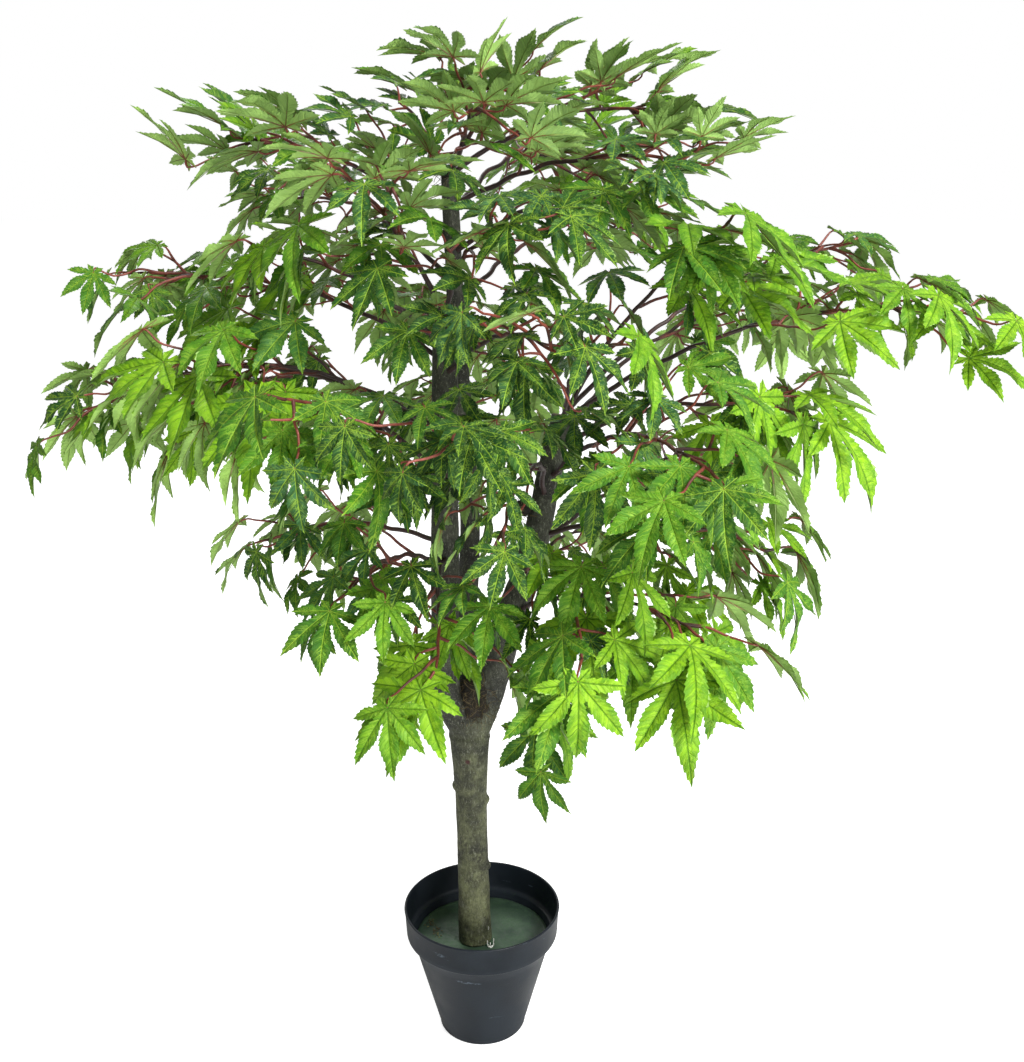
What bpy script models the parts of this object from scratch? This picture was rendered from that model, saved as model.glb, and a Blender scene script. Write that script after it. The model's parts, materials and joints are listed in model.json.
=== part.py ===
"""An artificial Japanese maple in a black nursery pot, built at its real size in metres, +Z up.

Three real wood stems rise from one short trunk, which stands in the set fill of a tapering plastic pot.
Wire sprays are pushed into the stems, and tufts of coir hide the holes at the fork and on the cut tops.
Each spray is one wire with side twigs and palmate leaves, grown by one seeded rule from a row of SPRAYS.
The part of a long spray that has no leaves is its bough. The rest of it is one mass of foliage.
The origin is the middle of the pot's flat underside. Azimuths turn from +X (0) through +Y (90).
"""

import math
import random
from collections import namedtuple

import bmesh
import bpy
from mathutils import Matrix, Vector, noise
from mathutils.bvhtree import BVHTree

GAP = 0.0003                     # clearance between neighbouring solids
MERGE = 0.00001                  # merge distance of the modifiers

# Pot: a thin tapering shell with a wide collar at its mouth
POT_HEIGHT = 0.155
RIM_RADIUS = 0.090
COLLAR_HEIGHT = 0.037
COLLAR_FOOT_RADIUS = 0.0875
BODY_RADIUS = 0.081              # outside, just under the collar
FOOT_RADIUS = 0.0495
WALL = 0.0015
LIP = 0.0028                     # the thicker edge round the mouth
POT_FLOOR = 0.002
POT_SEGMENTS = 32
FILL_TOP = 0.111                 # the fill's surface above the pot's underside

# Trunk and stems: centre lines, with the radius at the first and at the last point
FORK = (-0.012, 0.0, 0.372)
TRUNK_LINE = ((-0.008, -0.004, FILL_TOP + GAP), (-0.0095, -0.003, 0.20), (-0.0113, 0.0, 0.30), FORK)
TRUNK_RADII = (0.0195, 0.0175, 0.0180, 0.0225)
STUB_TOP = 0.445                 # the trunk's three arms end at this height, and the stems go on from it
STEMS = {
    "left": (
        (FORK, (-0.029, -0.006, 0.405), (-0.0378, -0.010, 0.435), (-0.037, -0.015, 0.489),
         (-0.034, -0.020, 0.646), (-0.0326, -0.020, 0.750), (-0.031, -0.020, 0.827)),
        (0.0180, 0.0125),
    ),
    "rear": (
        (FORK, (-0.0125, 0.014, 0.410), (-0.0158, 0.022, 0.475), (-0.0104, 0.030, 0.610),
         (-0.0177, 0.036, 0.740), (-0.0238, 0.040, 0.854), (-0.0286, 0.045, 0.965)),
        (0.0130, 0.0085),
    ),
    "right": (
        (FORK, (0.0086, 0.0, 0.424), (0.0318, 0.0, 0.506), (0.0521, 0.0, 0.563),
         (0.0625, 0.0, 0.608), (0.0758, 0.005, 0.677), (0.0879, 0.010, 0.729)),
        (0.0200, 0.0115),
    ),
}
KNOTS = (                        # knobs on the trunk: azimuth, height, radius
    (180, 0.305, 0.0052),
    (0, 0.288, 0.0050),
    (-10, 0.207, 0.0046),
)
STEM_KNOT = ("right", -20, 0.547, 0.0065)

# Coir tufts: centre and half sizes
COIR = {
    "coir_fork": ((-0.004, -0.010, 0.418), (0.019, 0.016, 0.030)),
    "coir_left": ((-0.031, -0.020, 0.829), (0.012, 0.012, 0.008)),
    "coir_rear": ((-0.0286, 0.045, 0.967), (0.0095, 0.0095, 0.009)),
    "coir_right": ((0.046, -0.008, 0.634), (0.010, 0.009, 0.010)),
}

# Sprays: the stem that holds each, the height of its hole, where it points, its length, how far its rise
# sinks from end to end, the share of it that is a bare bough of its own, and its leaves' kind
Spray = namedtuple("Spray", "name stem height azimuth rise length sag bough kind")
SPRAYS = [
    Spray(*row)
    for row in (
        ("top_front", "rear", 0.965, 284, 38, 0.15, 35, 0, "mid"),
        ("top", "rear", 0.965, 320, 60, 0.095, 25, 0, "mid"),
        ("top_left", "rear", 0.965, 136, 60, 0.095, 30, 0, "dark"),
        ("top_right", "rear", 0.965, 1, 40, 0.22, 50, 0, "mid"),
        ("top_right_low", "rear", 0.935, 337, 29, 0.25, 40, 0, "dark"),
        ("top_back", "rear", 0.920, 73, 34, 0.31, 45, 0.45, "mid"),
        ("upper_left", "rear", 0.900, 189, 47, 0.20, 40, 0, "mid"),
        ("upper_mid_right", "rear", 0.890, 321, 33, 0.20, 35, 0, "mid"),
        ("back_left", "rear", 0.860, 133, 35, 0.33, 45, 0.45, "dark"),
        ("back_right", "rear", 0.840, 49, 32, 0.36, 45, 0.45, "mid"),
        ("back_low", "rear", 0.600, 94, 37, 0.33, 45, 0, "bright"),
        ("back_low_left", "rear", 0.680, 150, 32, 0.34, 50, 0.45, "mid"),
        ("back_mid", "rear", 0.740, 100, 33, 0.30, 45, 0, "mid"),
        ("crown_left", "left", 0.827, 243, 56, 0.21, 30, 0, "mid"),
        ("crown_side", "left", 0.800, 200, 46, 0.19, 35, 0, "mid"),
        ("crown_front", "left", 0.827, 287, 44, 0.21, 35, 0, "mid"),
        ("left", "left", 0.690, 205, 50, 0.26, 58, 0.45, "bright"),
        ("far_left", "left", 0.715, 175, 32, 0.37, 60, 0.50, "mid"),
        ("left_high", "left", 0.790, 165, 30, 0.33, 35, 0, "dark"),
        ("left_front", "left", 0.670, 238, 40, 0.25, 30, 0, "mid"),
        ("left_low", "left", 0.600, 172, 16, 0.18, 40, 0, "dark"),
        ("left_low_front", "left", 0.570, 248, 33, 0.18, 50, 0, "dark"),
        ("hanging_left", "left", 0.585, 270, 3, 0.17, 45, 0, "bright"),
        ("front", "left", 0.775, 294, 31, 0.27, 40, 0, "dark"),
        ("front_low", "left", 0.660, 274, 39, 0.28, 40, 0, "dark"),
        ("right_high", "right", 0.729, 316, 60, 0.28, 30, 0, "bright"),
        ("mid_right", "right", 0.710, 280, 44, 0.25, 35, 0, "mid"),
        ("far_right", "right", 0.720, 354, 40, 0.385, 45, 0.50, "mid"),
        ("upper_right", "right", 0.729, 17, 45, 0.36, 35, 0.50, "dark"),
        ("right", "right", 0.690, 334, 36, 0.26, 50, 0.45, "bright"),
        ("right_front", "right", 0.660, 292, 38, 0.32, 50, 0, "mid"),
        ("right_low", "right", 0.600, 339, 23, 0.23, 45, 0, "mid"),
        ("right_low_front", "right", 0.510, 309, 34, 0.27, 50, 0, "bright"),
        ("centre_low", "right", 0.560, 280, 34, 0.26, 70, 0, "mid"),
        ("centre", "right", 0.640, 262, 42, 0.28, 70, 0, "dark"),
        ("right_back", "right", 0.700, 41, 40, 0.35, 45, 0.45, "mid"),
        ("right_back_low", "right", 0.580, 42, 32, 0.34, 50, 0.40, "dark"),
        ("back_low_right", "right", 0.500, 68, 26, 0.29, 45, 0, "mid"),
        ("low", "right", 0.440, 18, -8, 0.06, 75, 0, "bright"),
    )
]

# Growth rule of a spray
WIRE_RADIUS = 0.0028             # at the stem
WIRE_TIP_RADIUS = 0.0013
WIRE_POINTS = 12
BOUGH_POINTS = 5                 # on the wire of a bough
STEM_POINTS = 7                  # on the wire of a mass
BARE = 0.28                      # share of a wire without twigs, where it has no bough of its own
NEAR_STEM = 0.025                # this much of a wire is kept clear of the wood that it comes from
WANDER = 7                       # degrees that a wire strays from its azimuth
TWIG_SPACING = 0.0525
TWIG_LENGTH = 0.085
TWIG_RADIUS = 0.0013
TWIG_ANGLE = 50
PETIOLE_LENGTH = 0.026
PETIOLE_RADIUS = 0.0011
LARGER = 1.14                    # the solid leaves are larger than life, because they are fewer
LEAF_LENGTH = {"bright": 0.083, "mid": 0.073, "dark": 0.062}
LEAF_THICKNESS = 0.03            # of a leaf's length, at its hub
LEAF_ARCH = 0.14                 # how far the lobes' tips hang, of the leaf's length
DROOP_LOW, DROOP_HIGH = 60, -38  # degrees below level of the lowest and the highest leaves
DROOP_SPREAD = 26                # how much a leaf's droop differs from that
CROWN_FOOT, CROWN_TOP = 0.45, 1.05
OWN_SPACE = 1.60                 # a leaf is at most this many times as far from its own wire as from others
FORK_OPEN = (0.050, 0.32, 0.45)  # half width, foot and top of the space before the fork that stays open
FORK_SLOPE = 0.49                # how much higher that space is for each metre in front of the fork
SHORT = 0.07                     # a spray this short has one side leaf
CLEAR = 0.0008                   # kept round a new twig or leaf
STALK_BEHIND = 0.08              # a stalk comes from behind its leaf: how far, of the leaf's length
ROOT_FREE = 0.35                 # share of a stalk's first stretch that may lie in what carries it
SWAY = 0.4                       # how far a twig or petiole strays from its rule, of its own length
TRIES = 30

# Lobes of a leaf: the angle from its middle line, and the length as a share of the middle lobe's
LOBES = ((0, 1.0), (38, 0.88), (80, 0.62))
NOTCHES = ((19, 0.34), (59, 0.30))
LEAF_FOOT = (153, 0.045)         # where the petiole joins, each side of the middle line

BLACK_PLASTIC = ("black_plastic", (0.020, 0.022, 0.026), 0.45)
GREEN_FILL = ("green_fill", (0.045, 0.085, 0.055), 0.85)
GREY_BARK = ("grey_bark", (0.105, 0.095, 0.070), 0.85)
COIR_BROWN = ("coir_brown", (0.200, 0.110, 0.035), 0.95)
WIRE_BROWN = ("wire_brown", (0.045, 0.018, 0.016), 0.50)
LEAF_GREEN = {
    "bright": ("leaf_bright", (0.160, 0.380, 0.020), 0.50),
    "mid": ("leaf_mid", (0.065, 0.210, 0.025), 0.50),
    "dark": ("leaf_dark", (0.025, 0.110, 0.025), 0.50),
}


# Scene, materials and small helpers

def clear_scene():
    for obj in list(bpy.data.objects):
        bpy.data.objects.remove(obj, do_unlink=True)


def new_collection(name):
    collection = bpy.data.collections.new(name)
    bpy.context.scene.collection.children.link(collection)
    return collection


def material(look):
    name, colour, roughness = look
    found = bpy.data.materials.get(name)
    if found:
        return found
    made = bpy.data.materials.new(name)
    made.use_nodes = True
    shader = made.node_tree.nodes["Principled BSDF"]
    shader.inputs["Base Color"].default_value = (*colour, 1.0)
    shader.inputs["Roughness"].default_value = roughness
    shader.inputs["Metallic"].default_value = 0.0
    return made


def add_object(name, mesh, collection, look=None):
    obj = bpy.data.objects.new(name, mesh)
    collection.objects.link(obj)
    if look:
        mesh.materials.append(material(look))
    return obj


def evaluated_mesh(obj):
    """The mesh of an object with its modifiers or bevel applied."""
    bpy.context.view_layer.update()
    graph = bpy.context.evaluated_depsgraph_get()
    mesh = bpy.data.meshes.new_from_object(obj.evaluated_get(graph))
    mesh.materials.clear()
    return mesh


def smooth(mesh, degrees=40):
    mesh.shade_smooth()
    mesh.set_sharp_from_angle(angle=math.radians(degrees))


def direction(azimuth, rise):
    a, r = math.radians(azimuth), math.radians(rise)
    return Vector((math.cos(r) * math.cos(a), math.cos(r) * math.sin(a), math.sin(r)))


def smooth_line(points, steps=2):
    """A curve through all the points, with steps to each span (Catmull-Rom)."""
    points = [Vector(p) for p in points]
    ends = [2 * points[0] - points[1], *points, 2 * points[-1] - points[-2]]
    line = []
    for a, b, c, d in zip(ends, ends[1:], ends[2:], ends[3:]):
        for step in range(steps):
            t = step / steps
            line.append(0.5 * (2 * b + (c - a) * t + (2 * a - 5 * b + 4 * c - d) * t * t
                               + (3 * b - a - 3 * c + d) * t ** 3))
    return [*line, points[-1]]


def spread(first, last, count):
    return [first + (last - first) * i / (count - 1) for i in range(count)]


def point_at_height(line, height):
    """The point of a rising line at a height, with the direction of the line there."""
    for a, b in zip(line, line[1:]):
        if b.z >= height:
            break
    t = min(1.0, (height - a.z) / (b.z - a.z))
    return a.lerp(b, t), (b - a).normalized()


# Tubes

def tube_mesh(points, radii, sides):
    """A closed tube along a polyline, from a bevelled curve. Three sides come from a bevel object."""
    curve = bpy.data.curves.new("tube", "CURVE")
    curve.dimensions = "3D"
    curve.use_fill_caps = True
    if sides == 3:
        curve.bevel_mode = "OBJECT"
        curve.bevel_object = bpy.data.objects["three_sided_section"]
        size = 1.0
    else:
        curve.bevel_depth = 0.01
        curve.bevel_resolution = (sides - 4) // 2
        size = curve.bevel_depth
    spline = curve.splines.new("POLY")
    spline.points.add(len(points) - 1)
    for knot, point, radius in zip(spline.points, points, radii):
        knot.co = (*point, 1.0)
        knot.radius = radius / size
    obj = bpy.data.objects.new("tube", curve)
    bpy.context.scene.collection.objects.link(obj)
    mesh = evaluated_mesh(obj)
    form = bmesh.new()
    form.from_mesh(mesh)
    bmesh.ops.remove_doubles(form, verts=form.verts, dist=MERGE)
    form.to_mesh(mesh)
    form.free()
    bpy.data.objects.remove(obj)
    bpy.data.curves.remove(curve)
    return mesh


def three_sided_section(collection):
    """The triangle, of radius 1, that thin twigs are swept with."""
    curve = bpy.data.curves.new("three_sided_section", "CURVE")
    curve.dimensions = "2D"
    spline = curve.splines.new("POLY")
    spline.use_cyclic_u = True
    spline.points.add(2)
    for i, knot in enumerate(spline.points):
        angle = math.radians(90 - 120 * i)
        knot.co = (math.cos(angle), math.sin(angle), 0.0, 1.0)
    guide = bpy.data.objects.new("three_sided_section", curve)
    guide.hide_render = True
    guide.display_type = "WIRE"
    collection.objects.link(guide)


def body_of(face, faces):
    """Takes from a set of faces all that hang together with one of them by edges, and returns them."""
    body, edge = [], [face]
    faces.discard(face)
    while edge:
        face = edge.pop()
        body.append(face)
        near = {other for side in face.edges for other in side.link_faces} & faces
        faces -= near
        edge += near
    return body


def keep_largest_body(mesh):
    """Makes triangles of a union and drops its loose scraps and the walls of hollows that it has sealed.

    Tells whether what is left is closed.
    """
    form = bmesh.new()
    form.from_mesh(mesh)
    bmesh.ops.triangulate(form, faces=form.faces)
    faces = set(form.faces)
    bodies = []
    while faces:
        bodies.append(body_of(next(iter(faces)), faces))
    bodies.sort(key=len)
    bmesh.ops.delete(form, geom=[face for body in bodies[:-1] for face in body], context="FACES")
    closed = all(edge.is_manifold for edge in form.edges)
    form.to_mesh(mesh)
    form.free()
    return closed


def join(name, pieces, look, collection, solver="EXACT"):
    """One solid from closed pieces, by a Boolean union on the collection that holds them, or None."""
    held = bpy.data.collections.new("pieces")
    bpy.context.scene.collection.children.link(held)
    for piece in pieces[1:]:
        held.objects.link(piece)
    base = pieces[0]
    bpy.context.scene.collection.objects.link(base)
    union = base.modifiers.new("union", "BOOLEAN")
    union.operation = "UNION"
    union.operand_type = "COLLECTION"
    union.collection = held
    union.solver = solver
    mesh = evaluated_mesh(base)
    for piece in pieces:
        bpy.data.objects.remove(piece)
    bpy.data.collections.remove(held)
    if not keep_largest_body(mesh):
        return None
    smooth(mesh)
    return add_object(name, mesh, collection, look)


# Pot and fill

def turned(name, profile, look, collection):
    """A solid turned round the Z axis from a profile that runs down its outer side."""
    mesh = bpy.data.meshes.new(name)
    form = bmesh.new()
    corners = [form.verts.new((r, 0, z)) for r, z in profile]
    for a, b in zip(corners, corners[1:]):
        form.edges.new((a, b))
    form.to_mesh(mesh)
    form.free()
    obj = add_object(name, mesh, collection, look)
    screw = obj.modifiers.new("turn", "SCREW")
    screw.axis = "Z"
    screw.steps = screw.render_steps = POT_SEGMENTS
    screw.use_merge_vertices = True
    screw.merge_threshold = MERGE
    screw.use_smooth_shade = True
    return obj


def body_radius(z):
    """The pot's outer radius under its collar."""
    return FOOT_RADIUS + (BODY_RADIUS - FOOT_RADIUS) * z / (POT_HEIGHT - COLLAR_HEIGHT)


def make_pot(collection):
    ledge = POT_HEIGHT - COLLAR_HEIGHT
    inside = [
        (0, POT_FLOOR),
        (body_radius(POT_FLOOR) - WALL, POT_FLOOR),
        (BODY_RADIUS - WALL, ledge + WALL),
        (COLLAR_FOOT_RADIUS - WALL, ledge + WALL),
        (RIM_RADIUS - LIP, POT_HEIGHT - LIP),
        (RIM_RADIUS - LIP + WALL / 2, POT_HEIGHT),
    ]
    outside = [
        (RIM_RADIUS - WALL / 2, POT_HEIGHT),
        (RIM_RADIUS, POT_HEIGHT - WALL),
        (COLLAR_FOOT_RADIUS, ledge),
        (body_radius(ledge), ledge),
        (FOOT_RADIUS, 0),
        (0, 0),
    ]
    return turned("pot", inside + outside, BLACK_PLASTIC, collection)


def make_fill(collection):
    low = POT_FLOOR + GAP
    inner = WALL + 2 * GAP
    wide, narrow = body_radius(FILL_TOP) - inner, body_radius(low) - inner
    profile = [(0, FILL_TOP), (wide, FILL_TOP), (narrow, low), (0, low)]
    return turned("pot_fill", profile, GREEN_FILL, collection)


# Trunk, stems and coir

def stem_line(name):
    return smooth_line(STEMS[name][0])


def stem_radii(name):
    first, last = STEMS[name][1]
    return spread(first, last, len(stem_line(name)))


def split_at_height(line, radii, height):
    """The lines and radii below and above a height, with GAP between them."""
    cut, along = point_at_height(line, height)
    low = [(p, r) for p, r in zip(line, radii) if p.z < height - GAP]
    high = [(p, r) for p, r in zip(line, radii) if p.z > height + 2 * GAP]
    radius = (low[-1][1] + high[0][1]) / 2
    low.append((cut, radius))
    high.insert(0, (cut + GAP * along, radius))
    return tuple(zip(*low)), tuple(zip(*high))


def ball(centre, sizes, subdivisions=2):
    form = bmesh.new()
    place = Matrix.LocRotScale(Vector(centre), None, Vector(sizes))
    bmesh.ops.create_icosphere(form, subdivisions=subdivisions, radius=1.0, matrix=place)
    mesh = bpy.data.meshes.new("ball")
    form.to_mesh(mesh)
    form.free()
    return mesh


def loose(mesh):
    return bpy.data.objects.new("piece", mesh)


def knot_ball(line, azimuth, height, reach, size):
    centre, _ = point_at_height(line, height)
    return loose(ball(centre + reach * direction(azimuth, 0), (size, size, 1.3 * size), 1))


def make_trunk(collection):
    """The trunk, cut flat at its foot, with the first stretch of its three arms, and its knots."""
    line = smooth_line(TRUNK_LINE)
    steps = len(line) // (len(TRUNK_LINE) - 1)
    radii = [r for a, b in zip(TRUNK_RADII, TRUNK_RADII[1:]) for r in spread(a, b, steps + 1)[:-1]]
    column = tube_mesh(line, [*radii, TRUNK_RADII[-1]], 12)
    foot = line[0].z
    for vertex in column.vertices:
        if vertex.co.z < foot + 4 * GAP:
            vertex.co.z = foot
    pieces = [loose(column)]
    for name in STEMS:
        (points, thick), _ = split_at_height(stem_line(name), stem_radii(name), STUB_TOP)
        pieces.append(loose(tube_mesh(points, thick, 10)))
    pieces.append(loose(ball(FORK, (0.0235, 0.0205, 0.024))))
    for azimuth, height, size in KNOTS:
        pieces.append(knot_ball(line, azimuth, height, TRUNK_RADII[1] - 0.3 * size, size))
    return join("trunk", pieces, GREY_BARK, collection)


def make_stem(name, collection):
    _, (points, radii) = split_at_height(stem_line(name), stem_radii(name), STUB_TOP)
    pieces = [loose(tube_mesh(points, radii, 10))]
    holder, azimuth, height, size = STEM_KNOT
    if name == holder:
        pieces.append(knot_ball(stem_line(name), azimuth, height, STEMS[name][1][1], size))
    return join("stem_" + name, pieces, GREY_BARK, collection)


def make_coir(name, collection, cutters):
    """A lumpy tuft, cut clear of the wood it is stuffed against and level with a cut top under it."""
    centre, sizes = COIR[name]
    mesh = ball(centre, sizes)
    for vertex in mesh.vertices:
        out = vertex.co - Vector(centre)
        vertex.co += 0.22 * noise.noise(160 * vertex.co) * out
    tuft = add_object(name, mesh, collection, COIR_BROWN)
    for cutter in cutters:
        cut = tuft.modifiers.new("clearance", "BOOLEAN")
        cut.operation = "DIFFERENCE"
        cut.object = cutter
        cut.solver = "EXACT"
    return tuft


def make_cutters(collection):
    """Fatter copies of the trunk's arms and the stems, which cut the coir clear of them."""
    cutters = {}
    for name in STEMS:
        line, radii = stem_line(name), [r + 2 * GAP for r in stem_radii(name)]
        end = line[-1] + GAP * (line[-1] - line[-2]).normalized()
        cutter = add_object("around_" + name, tube_mesh([*line, end], [*radii, radii[-1]], 10), collection)
        cutter.hide_render = True
        cutter.display_type = "WIRE"
        cutters[name] = cutter
    return cutters


# Growth rule: where the wires, twigs, petioles and leaves of the sprays lie

Wire = namedtuple("Wire", "points radii")
Limbs = namedtuple("Limbs", "bough stem")                # a spray's bare bough, and the stem of its mass
Leaf = namedtuple("Leaf", "line radii place length")     # its stalk's line and radii, its place and length


class Solids:
    """The solids placed so far, as trees of triangles with a bounding ball each."""

    def __init__(self):
        self.held = []

    @staticmethod
    def shape(vertices, faces):
        centre = sum(vertices, Vector()) / len(vertices)
        reach = max((v - centre).length for v in vertices)
        return BVHTree.FromPolygons(vertices, faces), centre, reach

    def add(self, vertices, faces):
        self.held.append(self.shape(vertices, faces))

    def hit(self, vertices, faces):
        tree, centre, reach = self.shape(vertices, faces)
        return any(
            (centre - other).length < reach + extent and tree.overlap(solid)
            for solid, other, extent in self.held
        )


def prism(points, radii, extra=0.0, sides=6):
    """Corners and faces of a plain tube round a line, for the test of what touches what."""
    corners, faces = [], []
    ahead = (points[-1] - points[0]).normalized()
    side = ahead.orthogonal().normalized()
    over = ahead.cross(side)
    for point, radius in zip(points, radii):
        for i in range(sides):
            angle = 2 * math.pi * i / sides
            arm = math.cos(angle) * side + math.sin(angle) * over
            corners.append(point + (radius + extra) * arm)
    for ring in range(len(points) - 1):
        for i in range(sides):
            j = (i + 1) % sides
            faces.append((ring * sides + i, ring * sides + j, (ring + 1) * sides + j, (ring + 1) * sides + i))
    faces.append(tuple(range(sides)))
    faces.append(tuple(range(len(corners) - sides, len(corners))))
    return corners, faces


def leaf_blade():
    """Corners and faces of a leaf of unit length: a star with five hanging lobes, thickest at its hub."""
    half = [NOTCHES[0], LOBES[1], NOTCHES[1], LOBES[2], LEAF_FOOT]
    rim_places = [(-angle, length) for angle, length in reversed(half)] + [LOBES[0]] + half
    form = bmesh.new()
    bmesh.ops.create_cone(
        form, cap_ends=True, cap_tris=True, segments=len(rim_places),
        radius1=1.0, radius2=0.0, depth=LEAF_THICKNESS,
    )
    rim = [v for v in form.verts if v.co.xy.length > 0.5]
    rim.sort(key=lambda v: math.atan2(v.co.y, v.co.x))
    for vertex, (angle, length) in zip(rim, rim_places):
        a = math.radians(angle)
        vertex.co = (length * math.cos(a), length * math.sin(a), -LEAF_ARCH * length * length)
    corners = [v.co.copy() for v in form.verts]
    faces = [tuple(v.index for v in f.verts) for f in form.faces]
    form.free()
    return corners, faces


def ring_of_three(point, way, arms, radius):
    """Three arms of a stalk's section square to its way, turned as little as possible from the last ones."""
    first = arms[0] - arms[0].dot(way) * way
    turned = [Matrix.Rotation(math.radians(120 * i), 3, way) @ first.normalized() for i in range(3)]
    return turned, [point + radius * arm for arm in turned]


def leaf_solid(blade, leaf, extra=0.0):
    """A leaf with its stalk: the foot face on the stalk's side is drawn out along the line to its root."""
    shape, faces = blade
    hub = leaf.place.translation
    face_up = leaf.place.to_3x3().col[2]
    corners = []
    for corner in shape:
        at_hub = corner.xy.length < 0.01
        thicker = Vector((0, 0, math.copysign(extra / leaf.length, corner.z) if at_hub else 0))
        corners.append(leaf.place @ (leaf.length * (corner + thicker)))
    side = math.copysign(1, (leaf.line[-1] - hub).dot(face_up))
    feet = [f for f in faces if all(shape[i].xy.length < 0.1 for i in f)]
    foot = max(feet, key=lambda f: side * sum(shape[i].z for i in f))
    middle = sum((corners[i] for i in foot), Vector()) / 3
    arms = [corners[i] - middle for i in foot]
    drawn = [f for f in faces if f is not foot]
    ring = foot
    points = [hub, *reversed(leaf.line)]
    for i, radius in enumerate(reversed(leaf.radii), 1):
        ways = [(b - a).normalized() for a, b in zip(points[i - 1:], points[i:i + 2])]
        arms, places = ring_of_three(points[i], sum(ways, Vector()).normalized(), arms, radius + extra)
        below = tuple(range(len(corners), len(corners) + 3))
        corners += places
        drawn += [(ring[k], ring[(k + 1) % 3], below[(k + 1) % 3], below[k]) for k in range(3)]
        ring = below
    return corners, [*drawn, ring]


def from_root(leaf, share):
    """The leaf without the first share of its stalk's first stretch, which lies in what carries it."""
    after = leaf.line[1] if len(leaf.line) > 1 else leaf.place.translation
    return leaf._replace(line=[leaf.line[0].lerp(after, share), *leaf.line[1:]])


def wire_line(spray, start, rng):
    """A spray's wire: it rises, sags evenly along its length and strays a little to each side."""
    stray = rng.uniform(-WANDER, WANDER)
    phase = rng.uniform(0, 2 * math.pi)
    points, point = [start], start.copy()
    for i in range(WIRE_POINTS):
        t = (i + 0.5) / WIRE_POINTS
        turn = stray * t + WANDER * math.sin(phase + 2 * math.pi * t)
        way = direction(spray.azimuth + turn, spray.rise - spray.sag * t)
        point = point + spray.length / WIRE_POINTS * way
        points.append(point)
    return points


def along(points, radii, share):
    """The point, the direction and the radius at a share of a line's length."""
    span = share * (len(points) - 1)
    i = min(int(span), len(points) - 2)
    t = span - i
    return (
        points[i].lerp(points[i + 1], t),
        (points[i + 1] - points[i]).normalized(),
        radii[i] + (radii[i + 1] - radii[i]) * t,
    )


def stretch(wire, first, last, count):
    """The part of a wire between two shares of its length."""
    found = [along(*wire, share) for share in spread(first, last, count)]
    return Wire([p for p, _, _ in found], [r for _, _, r in found])


def seat(spray, solids, rng):
    """The spray's wire, pushed out of the stem's axis until it is just clear of what holds it."""
    start, _ = point_at_height(stem_line(spray.stem), spray.height)
    heading = direction(spray.azimuth, spray.rise)
    line = wire_line(spray, start, rng)
    radii = spread(WIRE_RADIUS, WIRE_TIP_RADIUS, len(line))
    near = max(2, sum((p - start).length < NEAR_STEM for p in line))
    out = 0.0
    while solids.hit(*prism([p + out * heading for p in line[:near]], radii[:near], GAP)):
        out += GAP / 3
    return Wire([p + out * heading for p in line], radii)


def leaf_place(hub, ahead, spray, rng):
    """Where a leaf lies: its middle lobe ahead and down, its face up, rolled and turned a little."""
    height = min(1.0, max(0.0, (hub.z - CROWN_FOOT) / (CROWN_TOP - CROWN_FOOT)))
    droop = DROOP_LOW + (DROOP_HIGH - DROOP_LOW) * height ** 4 + rng.uniform(-DROOP_SPREAD, DROOP_SPREAD)
    azimuth = math.degrees(math.atan2(ahead.y, ahead.x)) + rng.uniform(-25, 25)
    forward = direction(azimuth, -droop)
    level = direction(azimuth + 90, 0)
    roll = math.radians(rng.uniform(-30, 30))
    face = math.cos(roll) * forward.cross(level) + math.sin(roll) * level
    turn = Matrix((forward, face.cross(forward), face)).transposed()
    return Matrix.Translation(hub) @ turn.to_4x4()


def before_fork(point):
    """Whether a point lies in the space before the fork that stays open."""
    half, foot, top = FORK_OPEN
    return abs(point.x - FORK[0]) < half and point.y < 0 and foot < point.z + FORK_SLOPE * point.y < top


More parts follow.
